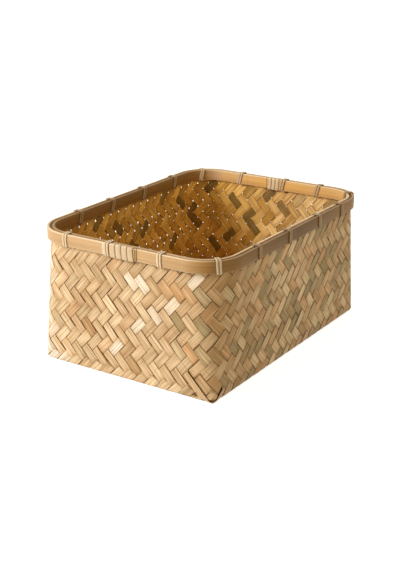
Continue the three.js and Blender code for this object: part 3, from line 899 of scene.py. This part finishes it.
# A hoop: its side of the wall, the middle of its joint's side, its scarf, its binding, and its
# tones at distances round the rim, mostly painted light and shade: pale or golden where the rim
# faces the lamp and dark where it turns away
OUTER_HOOP = {
    "side": 1,
    "wall_face": 0.0,
    "middle": SIDE_MIDDLES["left_end"],
    "covered_tip": -20.0,
    "covering_tip": 19.0,
    "full_section": 51.0,
    "start": -12.4,
    "turns": 4,
    "strip_width": 7.2,
    "binding_tone": 0.62,
    "tones": [
        (SIDE_MIDDLES["right_end"], 0.6),
        (SIDE_MIDDLES["back_side"], 0.5),
        (SIDE_MIDDLES["left_end"], 1.0),
        (CORNER_STARTS["front_left_corner"], 0.76),
        (CORNER_STARTS["front_left_corner"] + CORNER_ARC / 2, 0.22),
        (SIDE_MIDDLES["front_side"], 0.03),
    ],
}
INNER_HOOP = {
    "side": -1,
    "wall_face": -WALL,
    "middle": SIDE_MIDDLES["right_end"],
    "covered_tip": -19.0,
    "covering_tip": 11.5,
    "full_section": 43.5,
    "start": -5.0,
    "turns": 3,
    "strip_width": 4.8,
    "binding_tone": 0.95,
    "tones": [
        (SIDE_MIDDLES["right_end"], 1.4),
        (CORNER_STARTS["back_right_corner"], 1.2),
        (CORNER_STARTS["back_right_corner"] + CORNER_ARC / 2, 0.42),
        (CORNER_STARTS["back_right_corner"] + CORNER_ARC, 0.24),
        (SIDE_MIDDLES["back_side"], 0.18),
        (SIDE_MIDDLES["left_end"], 0.34),
    ],
}


def binding_end(hoop):
    pitch = hoop["strip_width"] + BINDING_GAP
    return hoop["start"] + (hoop["turns"] - 1 + BINDING_TAIL) * pitch + hoop["strip_width"]


def binding_share(hoop, at):
    start = hoop["start"] - SEAT
    end = binding_end(hoop) + SEAT
    return rise(start - BINDING_RAMP, start, at) * (1 - rise(end, end + BINDING_RAMP, at))


def hidden_depth(hoop, at):
    return SEAT + (BINDING_THICKNESS + SEAT) * binding_share(hoop, at)


def bare_depth(hoop, at):
    return SEAT + HOOP_THICKNESS + SCARF_BULGE * binding_share(hoop, at)


def pared_depth(hoop, at):
    share = (at - hoop["covered_tip"]) / (hoop["full_section"] - hoop["covered_tip"])
    share = min(max(share, 0.0), 1.0)
    thin = hidden_depth(hoop, at) + SCARF_TIP
    return thin + (bare_depth(hoop, at) - thin) * share


# Steps along a hoop near its joint and elsewhere
JOINT_MARGIN = 12
JOINT_STEP = 0.75
HOOP_STEP = 3.2

# The joint shows painted shadow in a slit after the last wrap, and a peeled place before the lashing
SLIT_SHADOW = 1.3
SLIT_SHADOW_OFF = 1.0
SLIT_SHADOW_WIDTH = 0.6
PEELED_OFF = 2.0
PEELED_WIDTH = 1.6
PEELED_MOST = 0.9


def hoop_path(hoop, seed):
    """A hoop runs from its covered tip once round the rim and ends over its own beginning."""
    tip = hoop["covered_tip"]
    full = hoop["full_section"]
    last = RIM_ROUND + hoop["covering_tip"]
    near_joint = np.arange(tip, full + JOINT_MARGIN, JOINT_STEP)
    rest = np.arange(full + JOINT_MARGIN, RIM_ROUND + tip - JOINT_MARGIN, HOOP_STEP)
    over_joint = np.arange(RIM_ROUND + tip - JOINT_MARGIN, last, JOINT_STEP)
    stations = np.concatenate([near_joint, rest, over_joint, [last]])
    from_joint = np.where(stations > RIM_ROUND / 2, stations - RIM_ROUND, stations)
    line = []
    out = []
    share = []
    for station, at in zip(stations, from_joint):
        near = hidden_depth(hoop, at)
        far = bare_depth(hoop, at)
        if station > RIM_ROUND / 2:
            covering = pared_depth(hoop, at) + SEAT
            near += (covering - near) * rise(tip - BINDING_RAMP, tip, at)
        elif at < full:
            far = pared_depth(hoop, at)
        spot, outward = rim_spot(hoop["middle"] + at)
        depth = hoop["wall_face"] + hoop["side"] * (near + far) / 2
        line.append(spot + outward * depth + np.array([0, 0, HOOP_FOOT + HOOP_HEIGHT / 2]))
        out.append(outward * hoop["side"])
        share.append((far - near) / HOOP_THICKNESS)
    line = np.array(line)
    along = lengths_along(line)
    upward = np.tile([0.0, 0.0, 1.0], (len(line), 1))
    # Painted shadow in the slit after the last wrap, and the pale peeled place before the lashing
    from_slit = from_joint - binding_end(hoop) - SLIT_SHADOW_OFF
    slit = SLIT_SHADOW * np.exp(-(from_slit / SLIT_SHADOW_WIDTH) ** 2)
    pale_mark = PEELED_WIDTH - np.abs(from_joint - tip + PEELED_OFF) / PEELED_WIDTH
    tone = np.interp((hoop["middle"] + stations) % RIM_ROUND, *light_and_shade_round(hoop["tones"]))
    return {
        "line": line,
        "side": upward * (hoop["side"] * HOOP_HEIGHT / 2),
        "out": np.array(out),
        "width_share": 1.0,
        "thickness_share": np.array(share),
        "along": along * MM,
        "tone": tone - slit,
        "hue": np.clip(pale_mark, 0, PEELED_MOST) * (hoop["side"] > 0),
        "seed": seed,
        "growth_ring": np.interp(along, *growth_rings()),
    }


# Strips wound round the hoops

BEND_STEPS = 4
RUN_SHARES = (0.25, 0.5, 0.75)
NO_RING = 99.0
BINDING_LEAN = 1.2
BINDING_BOW = 0.5
BINDING_CUP = 0.3
STRAND_LEANS = (0.0, 0.9)
STRAND_BOWS = (0.2, 0.9)
STRAND_CUP = 0.15
STRAND_TONE = (0, 0.06)
STRAND_TURNS = 2
STRANDS_HALF = (STRAND_PITCH + STRAND_WIDTH) / 2


def between(start, end, shares):
    return [[a + (b - a) * share for a, b in zip(start, end)] for share in shares]


def wound_path(
    distance, near, far, stand_off, turns, pitch, tail, wall_face, side, lean, bow, width, cup, tone
):
    """Turns start at the lower hidden corner, go under, up the far side, over the top and lean
    one pitch sideways on the way down. On the far side they lean and bow a little."""
    foot = HOOP_FOOT - stand_off
    top = BASKET_HEIGHT + stand_off
    bend = HOOP_ROUNDING + stand_off
    corners = [
        (near + bend, foot + bend, math.pi),
        (far - bend, foot + bend, 3 * QUARTER_TURN),
        (far - bend, top - bend, 0.0),
        (near + bend, top - bend, QUARTER_TURN),
    ]

    # A spot is its way along the rim, its depth and height, and the way out at it
    spots = []
    for turn in range(turns):
        for depth, z, begin in corners:
            if begin == 0.0:
                spots.extend(between(spots[-1], [turn * pitch, far, top - bend, 1.0, 0.0], RUN_SHARES))
            for step in range(BEND_STEPS + 1):
                angle = begin + step / BEND_STEPS * QUARTER_TURN
                out_depth = math.cos(angle)
                out_z = math.sin(angle)
                spots.append([turn * pitch, depth + bend * out_depth, z + bend * out_z, out_depth, out_z])
        is_last = turn == turns - 1
        shares = [share * tail for share in (*RUN_SHARES, 1.0)] if is_last else RUN_SHARES
        spots.extend(between(spots[-1], [(turn + 1) * pitch, near, foot + bend, -1.0, 0.0], shares))
    line = []
    out = []
    for along, depth, z, out_depth, out_z in spots:
        far_side = min(max(2 * (depth - near) / (far - near) - 1, 0), 1)
        height = (z - foot) / (top - foot)
        along += far_side * (lean * (0.5 - height) - bow * math.sin(math.pi * height))
        spot, outward = rim_spot(distance + along)
        line.append(spot + outward * (wall_face + side * depth) + np.array([0, 0, z]))
        out.append(outward * side * out_depth + np.array([0, 0, out_z]))
    line = np.array(line)
    out = unit(np.array(out))
    across = unit(np.cross(out, unit(np.gradient(line, axis=0))))
    return {
        "line": line,
        "side": across * (width / 2),
        "out": out,
        "width_share": 1.0,
        "thickness_share": 1.0,
        "cup": cup * MM,
        "along": lengths_along(line) * MM,
        "tone": tone,
        "seed": dice.uniform(0, SEED_SPAN),
        "growth_ring": NO_RING,
    }


def hoop_reach(hoop, distance, half_stretch):
    """How far a hoop stands off the wall over a stretch of the rim."""
    half = RIM_ROUND / 2
    spots = [distance + way * half_stretch - hoop["middle"] for way in (-1, 0, 1)]
    return max(bare_depth(hoop, (spot + half) % RIM_ROUND - half) for spot in spots)


def lashing_path(distance, tone):
    stand_off = SEAT + STRAND_THICKNESS / 2
    return wound_path(
        distance=distance - STRAND_PITCH / 2,
        near=-WALL - hoop_reach(INNER_HOOP, distance, STRANDS_HALF + STRAND_PITCH) - stand_off,
        far=hoop_reach(OUTER_HOOP, distance, STRANDS_HALF) + stand_off,
        stand_off=stand_off,
        turns=STRAND_TURNS,
        pitch=STRAND_PITCH,
        tail=1.0,
        wall_face=0.0,
        side=1,
        lean=dice.uniform(*STRAND_LEANS),
        bow=dice.uniform(*STRAND_BOWS),
        width=STRAND_WIDTH,
        cup=STRAND_CUP,
        tone=tone + dice.gauss(*STRAND_TONE),
    )


def binding_path(hoop):
    stand_off = SEAT + BINDING_THICKNESS / 2
    return wound_path(
        distance=hoop["middle"] + hoop["start"] + hoop["strip_width"] / 2,
        near=stand_off,
        far=SEAT + HOOP_THICKNESS + SCARF_BULGE + stand_off,
        stand_off=stand_off,
        turns=hoop["turns"],
        pitch=hoop["strip_width"] + BINDING_GAP,
        tail=BINDING_TAIL,
        wall_face=hoop["wall_face"],
        side=hoop["side"],
        lean=BINDING_LEAN,
        bow=BINDING_BOW,
        width=hoop["strip_width"],
        cup=BINDING_CUP,
        tone=hoop["binding_tone"],
    )


# Materials

# Fibres: detail and roughness of their noise, how the broader bands differ from the fine streaks,
# and which part of the noise is spread out
FINE_DETAIL = (4.0, 0.6)
BROAD_DETAIL = (2.0, 0.55)
BROAD_LENGTH = 0.5
BROAD_WIDTH = 0.22
BROAD_SEED = 31.0
FINE_CONTRAST = (0.3, 0.7)
BROAD_CONTRAST = (0.32, 0.68)

# Where the cut side faces start, as a share of the half width, and how far a growth ring wobbles
CUT_FACE_FROM = (0.97, 0.99)
RING_WOBBLE = 0.8


def fibre_group():
    """Fine fibres along a strip, as light and dark streaks, and broader bands."""
    inputs = {"Along": 0.0, "Across": 0.0, "Seed": 0.0, "Fibre Width": 0.4, "Fibre Length": 26.0}
    net, given, result = open_group("bamboo_fibre", inputs, ["Streak", "Band"])
    length = net.math("DIVIDE", given["Along"], given["Fibre Length"])
    width = net.math("DIVIDE", given["Across"], given["Fibre Width"])
    fine = net.joined(length, width, given["Seed"])
    broad_seed = net.math("ADD", given["Seed"], BROAD_SEED)
    broad = net.joined(net.times(length, BROAD_LENGTH), net.times(width, BROAD_WIDTH), broad_seed)
    net.put(result["Streak"], net.remap(net.noise(fine, *FINE_DETAIL), *FINE_CONTRAST))
    net.put(result["Band"], net.remap(net.noise(broad, *BROAD_DETAIL), *BROAD_CONTRAST))
    return net.tree


def edge_group():
    """Masks for a strip's long edges: a band along them, and the cut side faces themselves."""
    inputs = {"Reach": 0.0, "Edge Share": 0.15}
    net, given, result = open_group("strip_edge", inputs, ["Edge", "Cut Face"])
    away = net.math("ABSOLUTE", given["Reach"])
    net.put(result["Edge"], net.remap(away, net.math("SUBTRACT", 1.0, given["Edge Share"]), 1.0))
    net.put(result["Cut Face"], net.remap(away, *CUT_FACE_FROM))
    return net.tree


def ring_group():
    """Growth ring of the cane: a thin dark line."""
    inputs = {"Away": 50.0, "Ring Width": 1.1, "Wobble": 0.0}
    net, given, result = open_group("growth_ring_mark", inputs, ["Line"])
    wobble = net.times(net.math("SUBTRACT", given["Wobble"], 0.5), RING_WOBBLE)
    away = net.math("ABSOLUTE", net.math("ADD", given["Away"], wobble))
    net.put(result["Line"], net.remap(away, given["Ring Width"], 0.0))
    return net.tree


def new_material(name):
    material = bpy.data.materials.new(name)
    material.use_nodes = True
    tree = material.node_tree
    tree.nodes.clear()
    shader = tree.nodes.new("ShaderNodeBsdfPrincipled")
    output = tree.nodes.new("ShaderNodeOutputMaterial")
    tree.links.new(shader.outputs[0], output.inputs["Surface"])
    return material, Net(tree), shader


def open_finish(name, look):
    """A material for strips: its net and shader, and its fibres and edges."""
    material, net, shader = new_material(name)
    flat = net.add("ShaderNodeUVMap", uv_map="strip_uv").outputs["UV"]
    place = net.parted(net.scaled(flat, 1 / MM))
    fibre = net.group("fibre", {
        "Along": place["X"],
        "Across": place["Y"],
        "Seed": net.attribute("seed"),
        "Fibre Width": look["fibre_width"],
        "Fibre Length": look["fibre_length"],
    })
    edge = net.group("edge", {"Reach": net.attribute("reach"), "Edge Share": look["edge_share"]})
    return material, net, shader, fibre, edge


def close_finish(net, shader, look, colour, streak, height):
    bump = net.add("ShaderNodeBump", {"Height": height, "Strength": look["bump"], "Distance": 1.0})
    net.fill(shader, {
        "Base Color": colour,
        "Roughness": net.line(streak, -look["streak_gloss"], look["roughness"]),
        "Specular IOR Level": look["specular"],
        "Normal": bump.outputs[0],
    })


def ring_line(net, fibre):
    return net.group("ring", {"Away": net.attribute("growth_ring"), "Wobble": fibre["Band"]})["Line"]


def around_one(value, strength):
    """A straight line for product: a value between 0 and 1 shades by its strength about 1."""
    return value, strength, 1 - strength / 2


# Looks: fibres in millimetres, relief in metres, and streak, band and ring as shares of the colour;
# edge is the share of painted shade along a lashing's edges
PLAIT_LOOK = {
    "fibre_width": 0.7, "fibre_length": 30.0, "edge_share": 0.11, "streak": 0.44, "band": 0.28, "ring": 0.2,
    "roughness": 0.62, "streak_gloss": 0.12, "specular": 0.25,
    "relief": 0.00006, "ring_relief": 0.0001, "bump": 0.7,
}
HOOP_LOOK = {
    "fibre_width": 0.5, "fibre_length": 60.0, "edge_share": 0.2, "streak": 0.16, "band": 0.14, "ring": 0.14,
    "roughness": 0.5, "streak_gloss": 0.1, "specular": 0.2, "relief": 0.00004, "bump": 0.6,
}
LASHING_LOOK = {
    "fibre_width": 0.35, "fibre_length": 18.0, "edge_share": 0.25, "streak": 0.2, "edge": 0.4,
    "roughness": 0.55, "streak_gloss": 0.1, "specular": 0.5, "relief": 0.00005, "bump": 0.6,
}

# The plait's colours, and where the tone and the hue change one into the next
OUTSIDE_SHADES = {
    "dark": (0.45, 0.255, 0.11, 1),
    "pale": (0.77, 0.555, 0.34, 1),
    "bleached": (0.80, 0.67, 0.53, 1),
    "green": (0.36, 0.255, 0.12, 1),
    "orange": (0.64, 0.36, 0.17, 1),
}
# Inside: more saturated and amber, partly the splints' other face, partly painted warm light bounced inside
# the basket
INSIDE_SHADES = {
    "dark": (0.48, 0.265, 0.06, 1),
    "pale": (0.87, 0.59, 0.265, 1),
    "bleached": (0.88, 0.66, 0.38, 1),
    "green": (0.22, 0.14, 0.045, 1),
    "orange": (0.64, 0.34, 0.10, 1),
}
# Painted warm shade on the inner face of the back wall, and the tint of painted shade in gaps and dives
BACK_INSIDE_SHADE_TINT = (1.0, 0.86, 0.42, 1)
PAINTED_SHADE_TINT = (0.25, 0.14, 0.05, 1)
PALE_TONES = (0.1, 0.9)
BLEACHED_TONES = (0.95, 1.2)
GREEN_HUES = (-0.03, -0.5)
ORANGE_HUES = (0.03, 0.5)
BACK_INSIDE_SHADE_SPAN = (-0.05, 0.11)
FACE_TURN = 0.0001

# The plait's painted shade over the length of a float, darker towards its ends, and how strong the
# painted shade on edges, dives and covered faces is on the inner and outer face
MIDDLE_SHADE = 1.06
END_SHADE = 0.16
EDGE_SHADE_BY_FACE = (0.15, 0.85)
DIVE_SHADE_BY_FACE = (0.18, 0.8)
COVERED_SHADE_BY_FACE = (0.1, 0.9)
DIVE_FROM = (0.08, 0.9)
COVERED_FROM = (-0.2, -0.9)
# The lower edge takes more painted shade; cut faces are paler, the upper ones more, as painted highlight
LOWER_EDGE_SHADE = (-0.5, 0.5, 0.3, 1.0)
CUT_FACE_PALE_AND_HIGHLIT = (-0.5, 0.5, 0.5, 0.1)
GREEN_WARMTH = 1.25
BLUE_WARMTH = 1.7


def plait_material(name, outside, inside):
    material, net, shader, fibre, edge = open_finish(name, PLAIT_LOOK)
    tone = net.attribute("tone")
    hue = net.attribute("hue")
    ring = ring_line(net, fibre)

    # The face that looks out of the basket and the face that looks into it
    outward = net.remap(net.attribute("lift"), -FACE_TURN, FACE_TURN)

    def by_face(inner, outer):
        return net.line(outward, outer - inner, inner)

    def splint_colour(shades):
        light = net.mixed(net.ramp(tone, *PALE_TONES), shades["dark"], shades["pale"])
        light = net.mixed(net.remap(tone, *BLEACHED_TONES), light, shades["bleached"])
        green = net.mixed(net.remap(hue, *GREEN_HUES), light, shades["green"])
        return net.mixed(net.remap(hue, *ORANGE_HUES), green, shades["orange"])

    place = net.parted(net.add("ShaderNodeTexCoord").outputs["Object"])
    inner = splint_colour(inside)
    # Painted warm shade on the inner face of the back wall
    inner = net.mixed(net.remap(place["Y"], *BACK_INSIDE_SHADE_SPAN), inner, net.tinted(inner, BACK_INSIDE_SHADE_TINT))
    colour = net.mixed(outward, inner, splint_colour(outside))

    # Painted shade along the edges, most on the lower edge, where a strip dives under its neighbour, and
    # on a face under another strip where it shows in the gaps
    below = net.times(net.attribute("reach"), net.attribute("under"))
    painted_edge_shade = net.times(edge["Edge"], by_face(*EDGE_SHADE_BY_FACE))
    painted_edge_shade = net.times(painted_edge_shade, net.remap(below, *LOWER_EDGE_SHADE))
    painted_edge_shade = net.times(painted_edge_shade, net.attribute("gap_shade"))
    painted_dive_shade = net.times(net.remap(net.attribute("dive"), *DIVE_FROM), by_face(*DIVE_SHADE_BY_FACE))
    covered_face_shade = net.remap(net.times(by_face(-1.0, 1.0), net.attribute("passing")), *COVERED_FROM)
    painted_shade = net.math("MAXIMUM", painted_edge_shade, painted_dive_shade)
    painted_shade = net.math("MAXIMUM", painted_shade, net.times(covered_face_shade, by_face(*COVERED_SHADE_BY_FACE)))
    colour = net.mixed(painted_shade, colour, net.tinted(colour, PAINTED_SHADE_TINT))

    # Grain, growth rings and painted shade towards the float ends; darker places are also warmer
    shade = net.product(
        around_one(fibre["Streak"], PLAIT_LOOK["streak"]),
        around_one(fibre["Band"], PLAIT_LOOK["band"]),
        (net.math("POWER", net.attribute("float_share"), 2.0), -END_SHADE, MIDDLE_SHADE),
        (ring, -PLAIT_LOOK["ring"], 1.0),
    )
    green = net.math("POWER", shade, GREEN_WARMTH)
    blue = net.math("POWER", shade, BLUE_WARMTH)
    colour = net.tinted(colour, net.joined(shade, green, blue))
    # Cut side faces are paler, and painted highlight makes the upper ones paler still
    cut_face = net.times(edge["Cut Face"], net.remap(below, *CUT_FACE_PALE_AND_HIGHLIT))
    colour = net.mixed(cut_face, colour, net.mixed(outward, inside["pale"], outside["bleached"]))
    ring_height = net.times(ring, PLAIT_LOOK["ring_relief"])
    height = net.line(fibre["Streak"], PLAIT_LOOK["relief"], ring_height)
    close_finish(net, shader, PLAIT_LOOK, colour, fibre["Streak"], height)
    return material


# Hoop colours; the tones round the rim pick the dark end as painted shade and the golden end as painted
# light
HOOP_SHADES = {
    "dark": (0.15, 0.07, 0.01, 1),
    "pale": (0.65, 0.42, 0.23, 1),
    "amber": (0.38, 0.195, 0.06, 1),
    "golden": (0.92, 0.52, 0.14, 1),
    "whitish": (0.84, 0.67, 0.48, 1),
}
HOOP_STEPS = {"amber": (0.0, 0.4), "pale": (0.4, 1.0), "golden": (1.0, 1.5)}
PALE_EDGE_AND_HIGHLIGHT = (0.1, 1.0, 0.12, 0.85)


def hoop_material(name, shades):
    material, net, shader, fibre, edge = open_finish(name, HOOP_LOOK)
    tone = net.attribute("tone")
    base = shades["dark"]
    for shade, tones in HOOP_STEPS.items():
        base = net.mixed(net.ramp(tone, *tones), base, shades[shade])
    # Pale edges, partly the cut edge and partly painted highlight where the rim's tone is lit, and the
    # peeled place
    pale_mark = net.times(edge["Edge"], net.remap(tone, *PALE_EDGE_AND_HIGHLIGHT))
    pale_mark = net.math("MAXIMUM", pale_mark, net.attribute("hue"))
    base = net.mixed(pale_mark, base, shades["whitish"])
    shade = net.product(
        around_one(fibre["Streak"], HOOP_LOOK["streak"]),
        around_one(fibre["Band"], HOOP_LOOK["band"]),
        (ring_line(net, fibre), -HOOP_LOOK["ring"], 1.0),
    )
    colour = net.tinted(base, net.joined(shade, shade, shade))
    height = net.times(fibre["Streak"], HOOP_LOOK["relief"])
    close_finish(net, shader, HOOP_LOOK, colour, fibre["Streak"], height)
    return material


LASHING_PALE = (0.80, 0.61, 0.40, 1)
LASHING_DARK = (0.34, 0.19, 0.07, 1)
LASHING_TONE_RANGE = (0.1, 1.1)
LASHING_BAND = 0.3


def lashing_material(name, pale, dark):
    material, net, shader, fibre, edge = open_finish(name, LASHING_LOOK)
    tone = net.line(fibre["Band"], LASHING_BAND, net.attribute("tone"))
    base = net.mixed(net.ramp(tone, *LASHING_TONE_RANGE), dark, pale)
    # Painted shade along the strands' edges, in the seams between the wraps
    shade = net.product(
        around_one(fibre["Streak"], LASHING_LOOK["streak"]),
        (edge["Edge"], -LASHING_LOOK["edge"], 1.0),
    )
    colour = net.tinted(base, net.joined(shade, shade, shade))
    height = net.times(fibre["Streak"], LASHING_LOOK["relief"])
    close_finish(net, shader, LASHING_LOOK, colour, fibre["Streak"], height)
    return material


STRIP_TREE = flat_strip_tree()
GROUPS = {"fibre": fibre_group(), "edge": edge_group(), "ring": ring_group()}
plait = plait_material("plaited_bamboo", OUTSIDE_SHADES, INSIDE_SHADES)
hoop_finish = hoop_material("hoop_bamboo", HOOP_SHADES)
lashing_finish = lashing_material("split_lashing", LASHING_PALE, LASHING_DARK)

# The pieces: width, thickness and edge rounding of their strips in millimetres, points round the
# section, and the angle in degrees from which an edge stays sharp

PLAIT_SIZES = strip_sizes(STRIP_WIDTH, STRIP_THICKNESS, 0.16, 8, 32)
HOOP_SIZES = strip_sizes(HOOP_HEIGHT, HOOP_THICKNESS, HOOP_ROUNDING, 20, 60)
BINDING_SECTION = (BINDING_THICKNESS, 0.2, 24, 60)
STRAND_SIZES = strip_sizes(STRAND_WIDTH, STRAND_THICKNESS, 0.3, 16, 70)


def seat(piece, slot, *nodes):
    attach(piece, "root")
    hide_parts(*nodes)


strip_numbers = range(-(CELLS_LONG + CELLS_WIDE) // 2, (CELLS_LONG + CELLS_WIDE) // 2)
for family, title in (("first", "plaited_strips_one_way"), ("second", "plaited_strips_other_way")):
    family_paths = []
    for number in strip_numbers:
        family_paths.extend(strip_paths(family, number))
    seat(make_strips(title, family_paths, PLAIT_SIZES, plait), "plaited_bamboo", "plaited_body")

for title, hoop in (("outer_hoop", OUTER_HOOP), ("inner_hoop", INNER_HOOP)):
    path = hoop_path(hoop, dice.uniform(0, SEED_SPAN))
    seat(make_strips(title + "_split", [path], HOOP_SIZES, hoop_finish), "hoop_bamboo", title)

for title, hoop in (("outer_hoop_binding", OUTER_HOOP), ("inner_hoop_binding", INNER_HOOP)):
    binding_sizes = strip_sizes(hoop["strip_width"], *BINDING_SECTION)
    piece = make_strips(title + "_wraps", [binding_path(hoop)], binding_sizes, lashing_finish)
    seat(piece, "split_lashing", title)

# Lashings: their places on each side as shares of its length from its middle, and those that
# stand in millimetres beside the bindings
END_SHARES = {"right_end": [-0.255, 0.214], "left_end": [-0.308, 0.211]}
SIDE_SHARES = {"back_side": [-0.303, -0.103, 0.09, 0.273], "front_side": [-0.267, -0.07, 0.14, 0.307]}
CORNER_SHARES = {"back_right_corner": 0.5, "front_left_corner": 0.555, "front_right_corner": 0.5}
OUTER_BESIDE = 1.9
INNER_BESIDE = 0.6
beside = {
    "left_end": OUTER_HOOP["start"] - OUTER_BESIDE - STRANDS_HALF,
    "right_end": INNER_HOOP["start"] - INNER_BESIDE - STRAND_PITCH - STRANDS_HALF,
}
offsets = {}
for side, shares in END_SHARES.items():
    offsets[side] = [beside[side]] + [share * RIM_WIDTH for share in shares]
for side, shares in SIDE_SHARES.items():
    offsets[side] = [share * RIM_LENGTH for share in shares]
lashing_places = {}
for side, places in offsets.items():
    for number, offset in enumerate(sorted(places), start=1):
        lashing_places[f"lashing_{side}_{number}"] = SIDE_MIDDLES[side] + offset
for corner, share in CORNER_SHARES.items():
    lashing_places[f"lashing_{corner}"] = CORNER_STARTS[corner] + share * CORNER_ARC
# Tones of the lashings by side: painted light and shade, pale where the rim faces the lamp and dark on the
# shaded sides
LASHING_LIGHT_AND_SHADE = {
    "left_end": 0.8,
    "front_left": 0.72,
    "front_side": 0.05,
    "front_right": 0.1,
    "right_end": 0.6,
    "back_right": 0.7,
    "back_side": 0.15,
}
for title, distance in lashing_places.items():
    tone = next(shade for place, shade in LASHING_LIGHT_AND_SHADE.items() if place in title)
    piece = make_strips(title + "_strands", [lashing_path(distance, tone)], STRAND_SIZES, lashing_finish)
    seat(piece, "split_lashing", title)

# Floor, light and camera, in metres

FLOOR_REACH = 6.0
FLOOR_GREY = (0.8, 0.8, 0.8, 1)
FLOOR_ROUGHNESS = 0.9
FLOOR_GLOW = 0.78
WHITE = (1, 1, 1, 1)
SKY_COLOUR = (1, 0.91, 0.64, 1)
SKY_STRENGTH = 0.59


def looked_at(net):
    """1 for rays that see a surface straight on, in a reflection or through glass."""
    rays = net.add("ShaderNodeLightPath").outputs
    seen = net.math("MAXIMUM", rays["Is Camera Ray"], rays["Is Glossy Ray"])
    return net.math("MAXIMUM", seen, rays["Is Transmission Ray"])


floor_mesh = bpy.data.meshes.new("floor")
floor_corners = [(x * FLOOR_REACH, y * FLOOR_REACH, 0) for x, y in ((-1, -1), (1, -1), (1, 1), (-1, 1))]
floor_mesh.from_pydata(floor_corners, [], [(0, 1, 2, 3)])
floor = bpy.data.objects.new("floor", floor_mesh)
bpy.context.scene.collection.objects.link(floor)
floor_finish, floor_net, floor_shader = new_material("pale_floor")
floor_net.fill(floor_shader, {
    "Base Color": FLOOR_GREY,
    "Roughness": FLOOR_ROUGHNESS,
    "Emission Color": WHITE,
    "Emission Strength": floor_net.times(looked_at(floor_net), FLOOR_GLOW),
})
floor.data.materials.append(floor_finish)

world = bpy.data.worlds.new("studio")
bpy.context.scene.world = world
world.use_nodes = True
world.node_tree.nodes.clear()
sky = Net(world.node_tree)
dim = sky.add("ShaderNodeBackground", {"Color": SKY_COLOUR, "Strength": SKY_STRENGTH})
white = sky.add("ShaderNodeBackground", {"Color": WHITE, "Strength": 1.0})
both = sky.add("ShaderNodeMixShader", {0: looked_at(sky), 1: dim.outputs[0], 2: white.outputs[0]})
sky.add("ShaderNodeOutputWorld", {"Surface": both.outputs[0]})

LAMP_PLACE = (-1.2, 0.85, 1.0)
LAMP_AIM = (0, 0, 0.08)
LAMP_SIZE = 0.6
LAMP_POWER = 20
lamp_data = bpy.data.lights.new("key_lamp", "AREA")
lamp_data.shape = "SQUARE"
lamp_data.size = LAMP_SIZE
lamp_data.energy = LAMP_POWER
lamp = bpy.data.objects.new("key_lamp", lamp_data)
lamp.location = LAMP_PLACE
lamp.rotation_mode = "QUATERNION"
lamp.rotation_quaternion = (Vector(LAMP_AIM) - Vector(LAMP_PLACE)).to_track_quat("-Z", "Y")
bpy.context.scene.collection.objects.link(lamp)

# The photograph's camera: its lens and sensor in millimetres, its turn and tilt in degrees, and
# how far it is off its aim: to the right, up and back
LENS = 70.33
SENSOR_WIDTH = 36
CAMERA_TURN = -56.78
CAMERA_TILT = 20.03
CAMERA_AIM = (0, 0, 0.0783)
CAMERA_OFF = (-0.00865, -0.0164, 1.3347)
camera_data = bpy.data.cameras.new("photo_camera")
camera_data.lens = LENS
camera_data.sensor_width = SENSOR_WIDTH
camera = bpy.data.objects.new("photo_camera", camera_data)
bpy.context.scene.collection.objects.link(camera)
camera.rotation_euler = (math.radians(90 - CAMERA_TILT), 0, math.radians(CAMERA_TURN))
camera.location = Vector(CAMERA_AIM) + camera.rotation_euler.to_matrix() @ Vector(CAMERA_OFF)
bpy.context.scene.camera = camera
bpy.context.scene.view_settings.view_transform = "Standard"
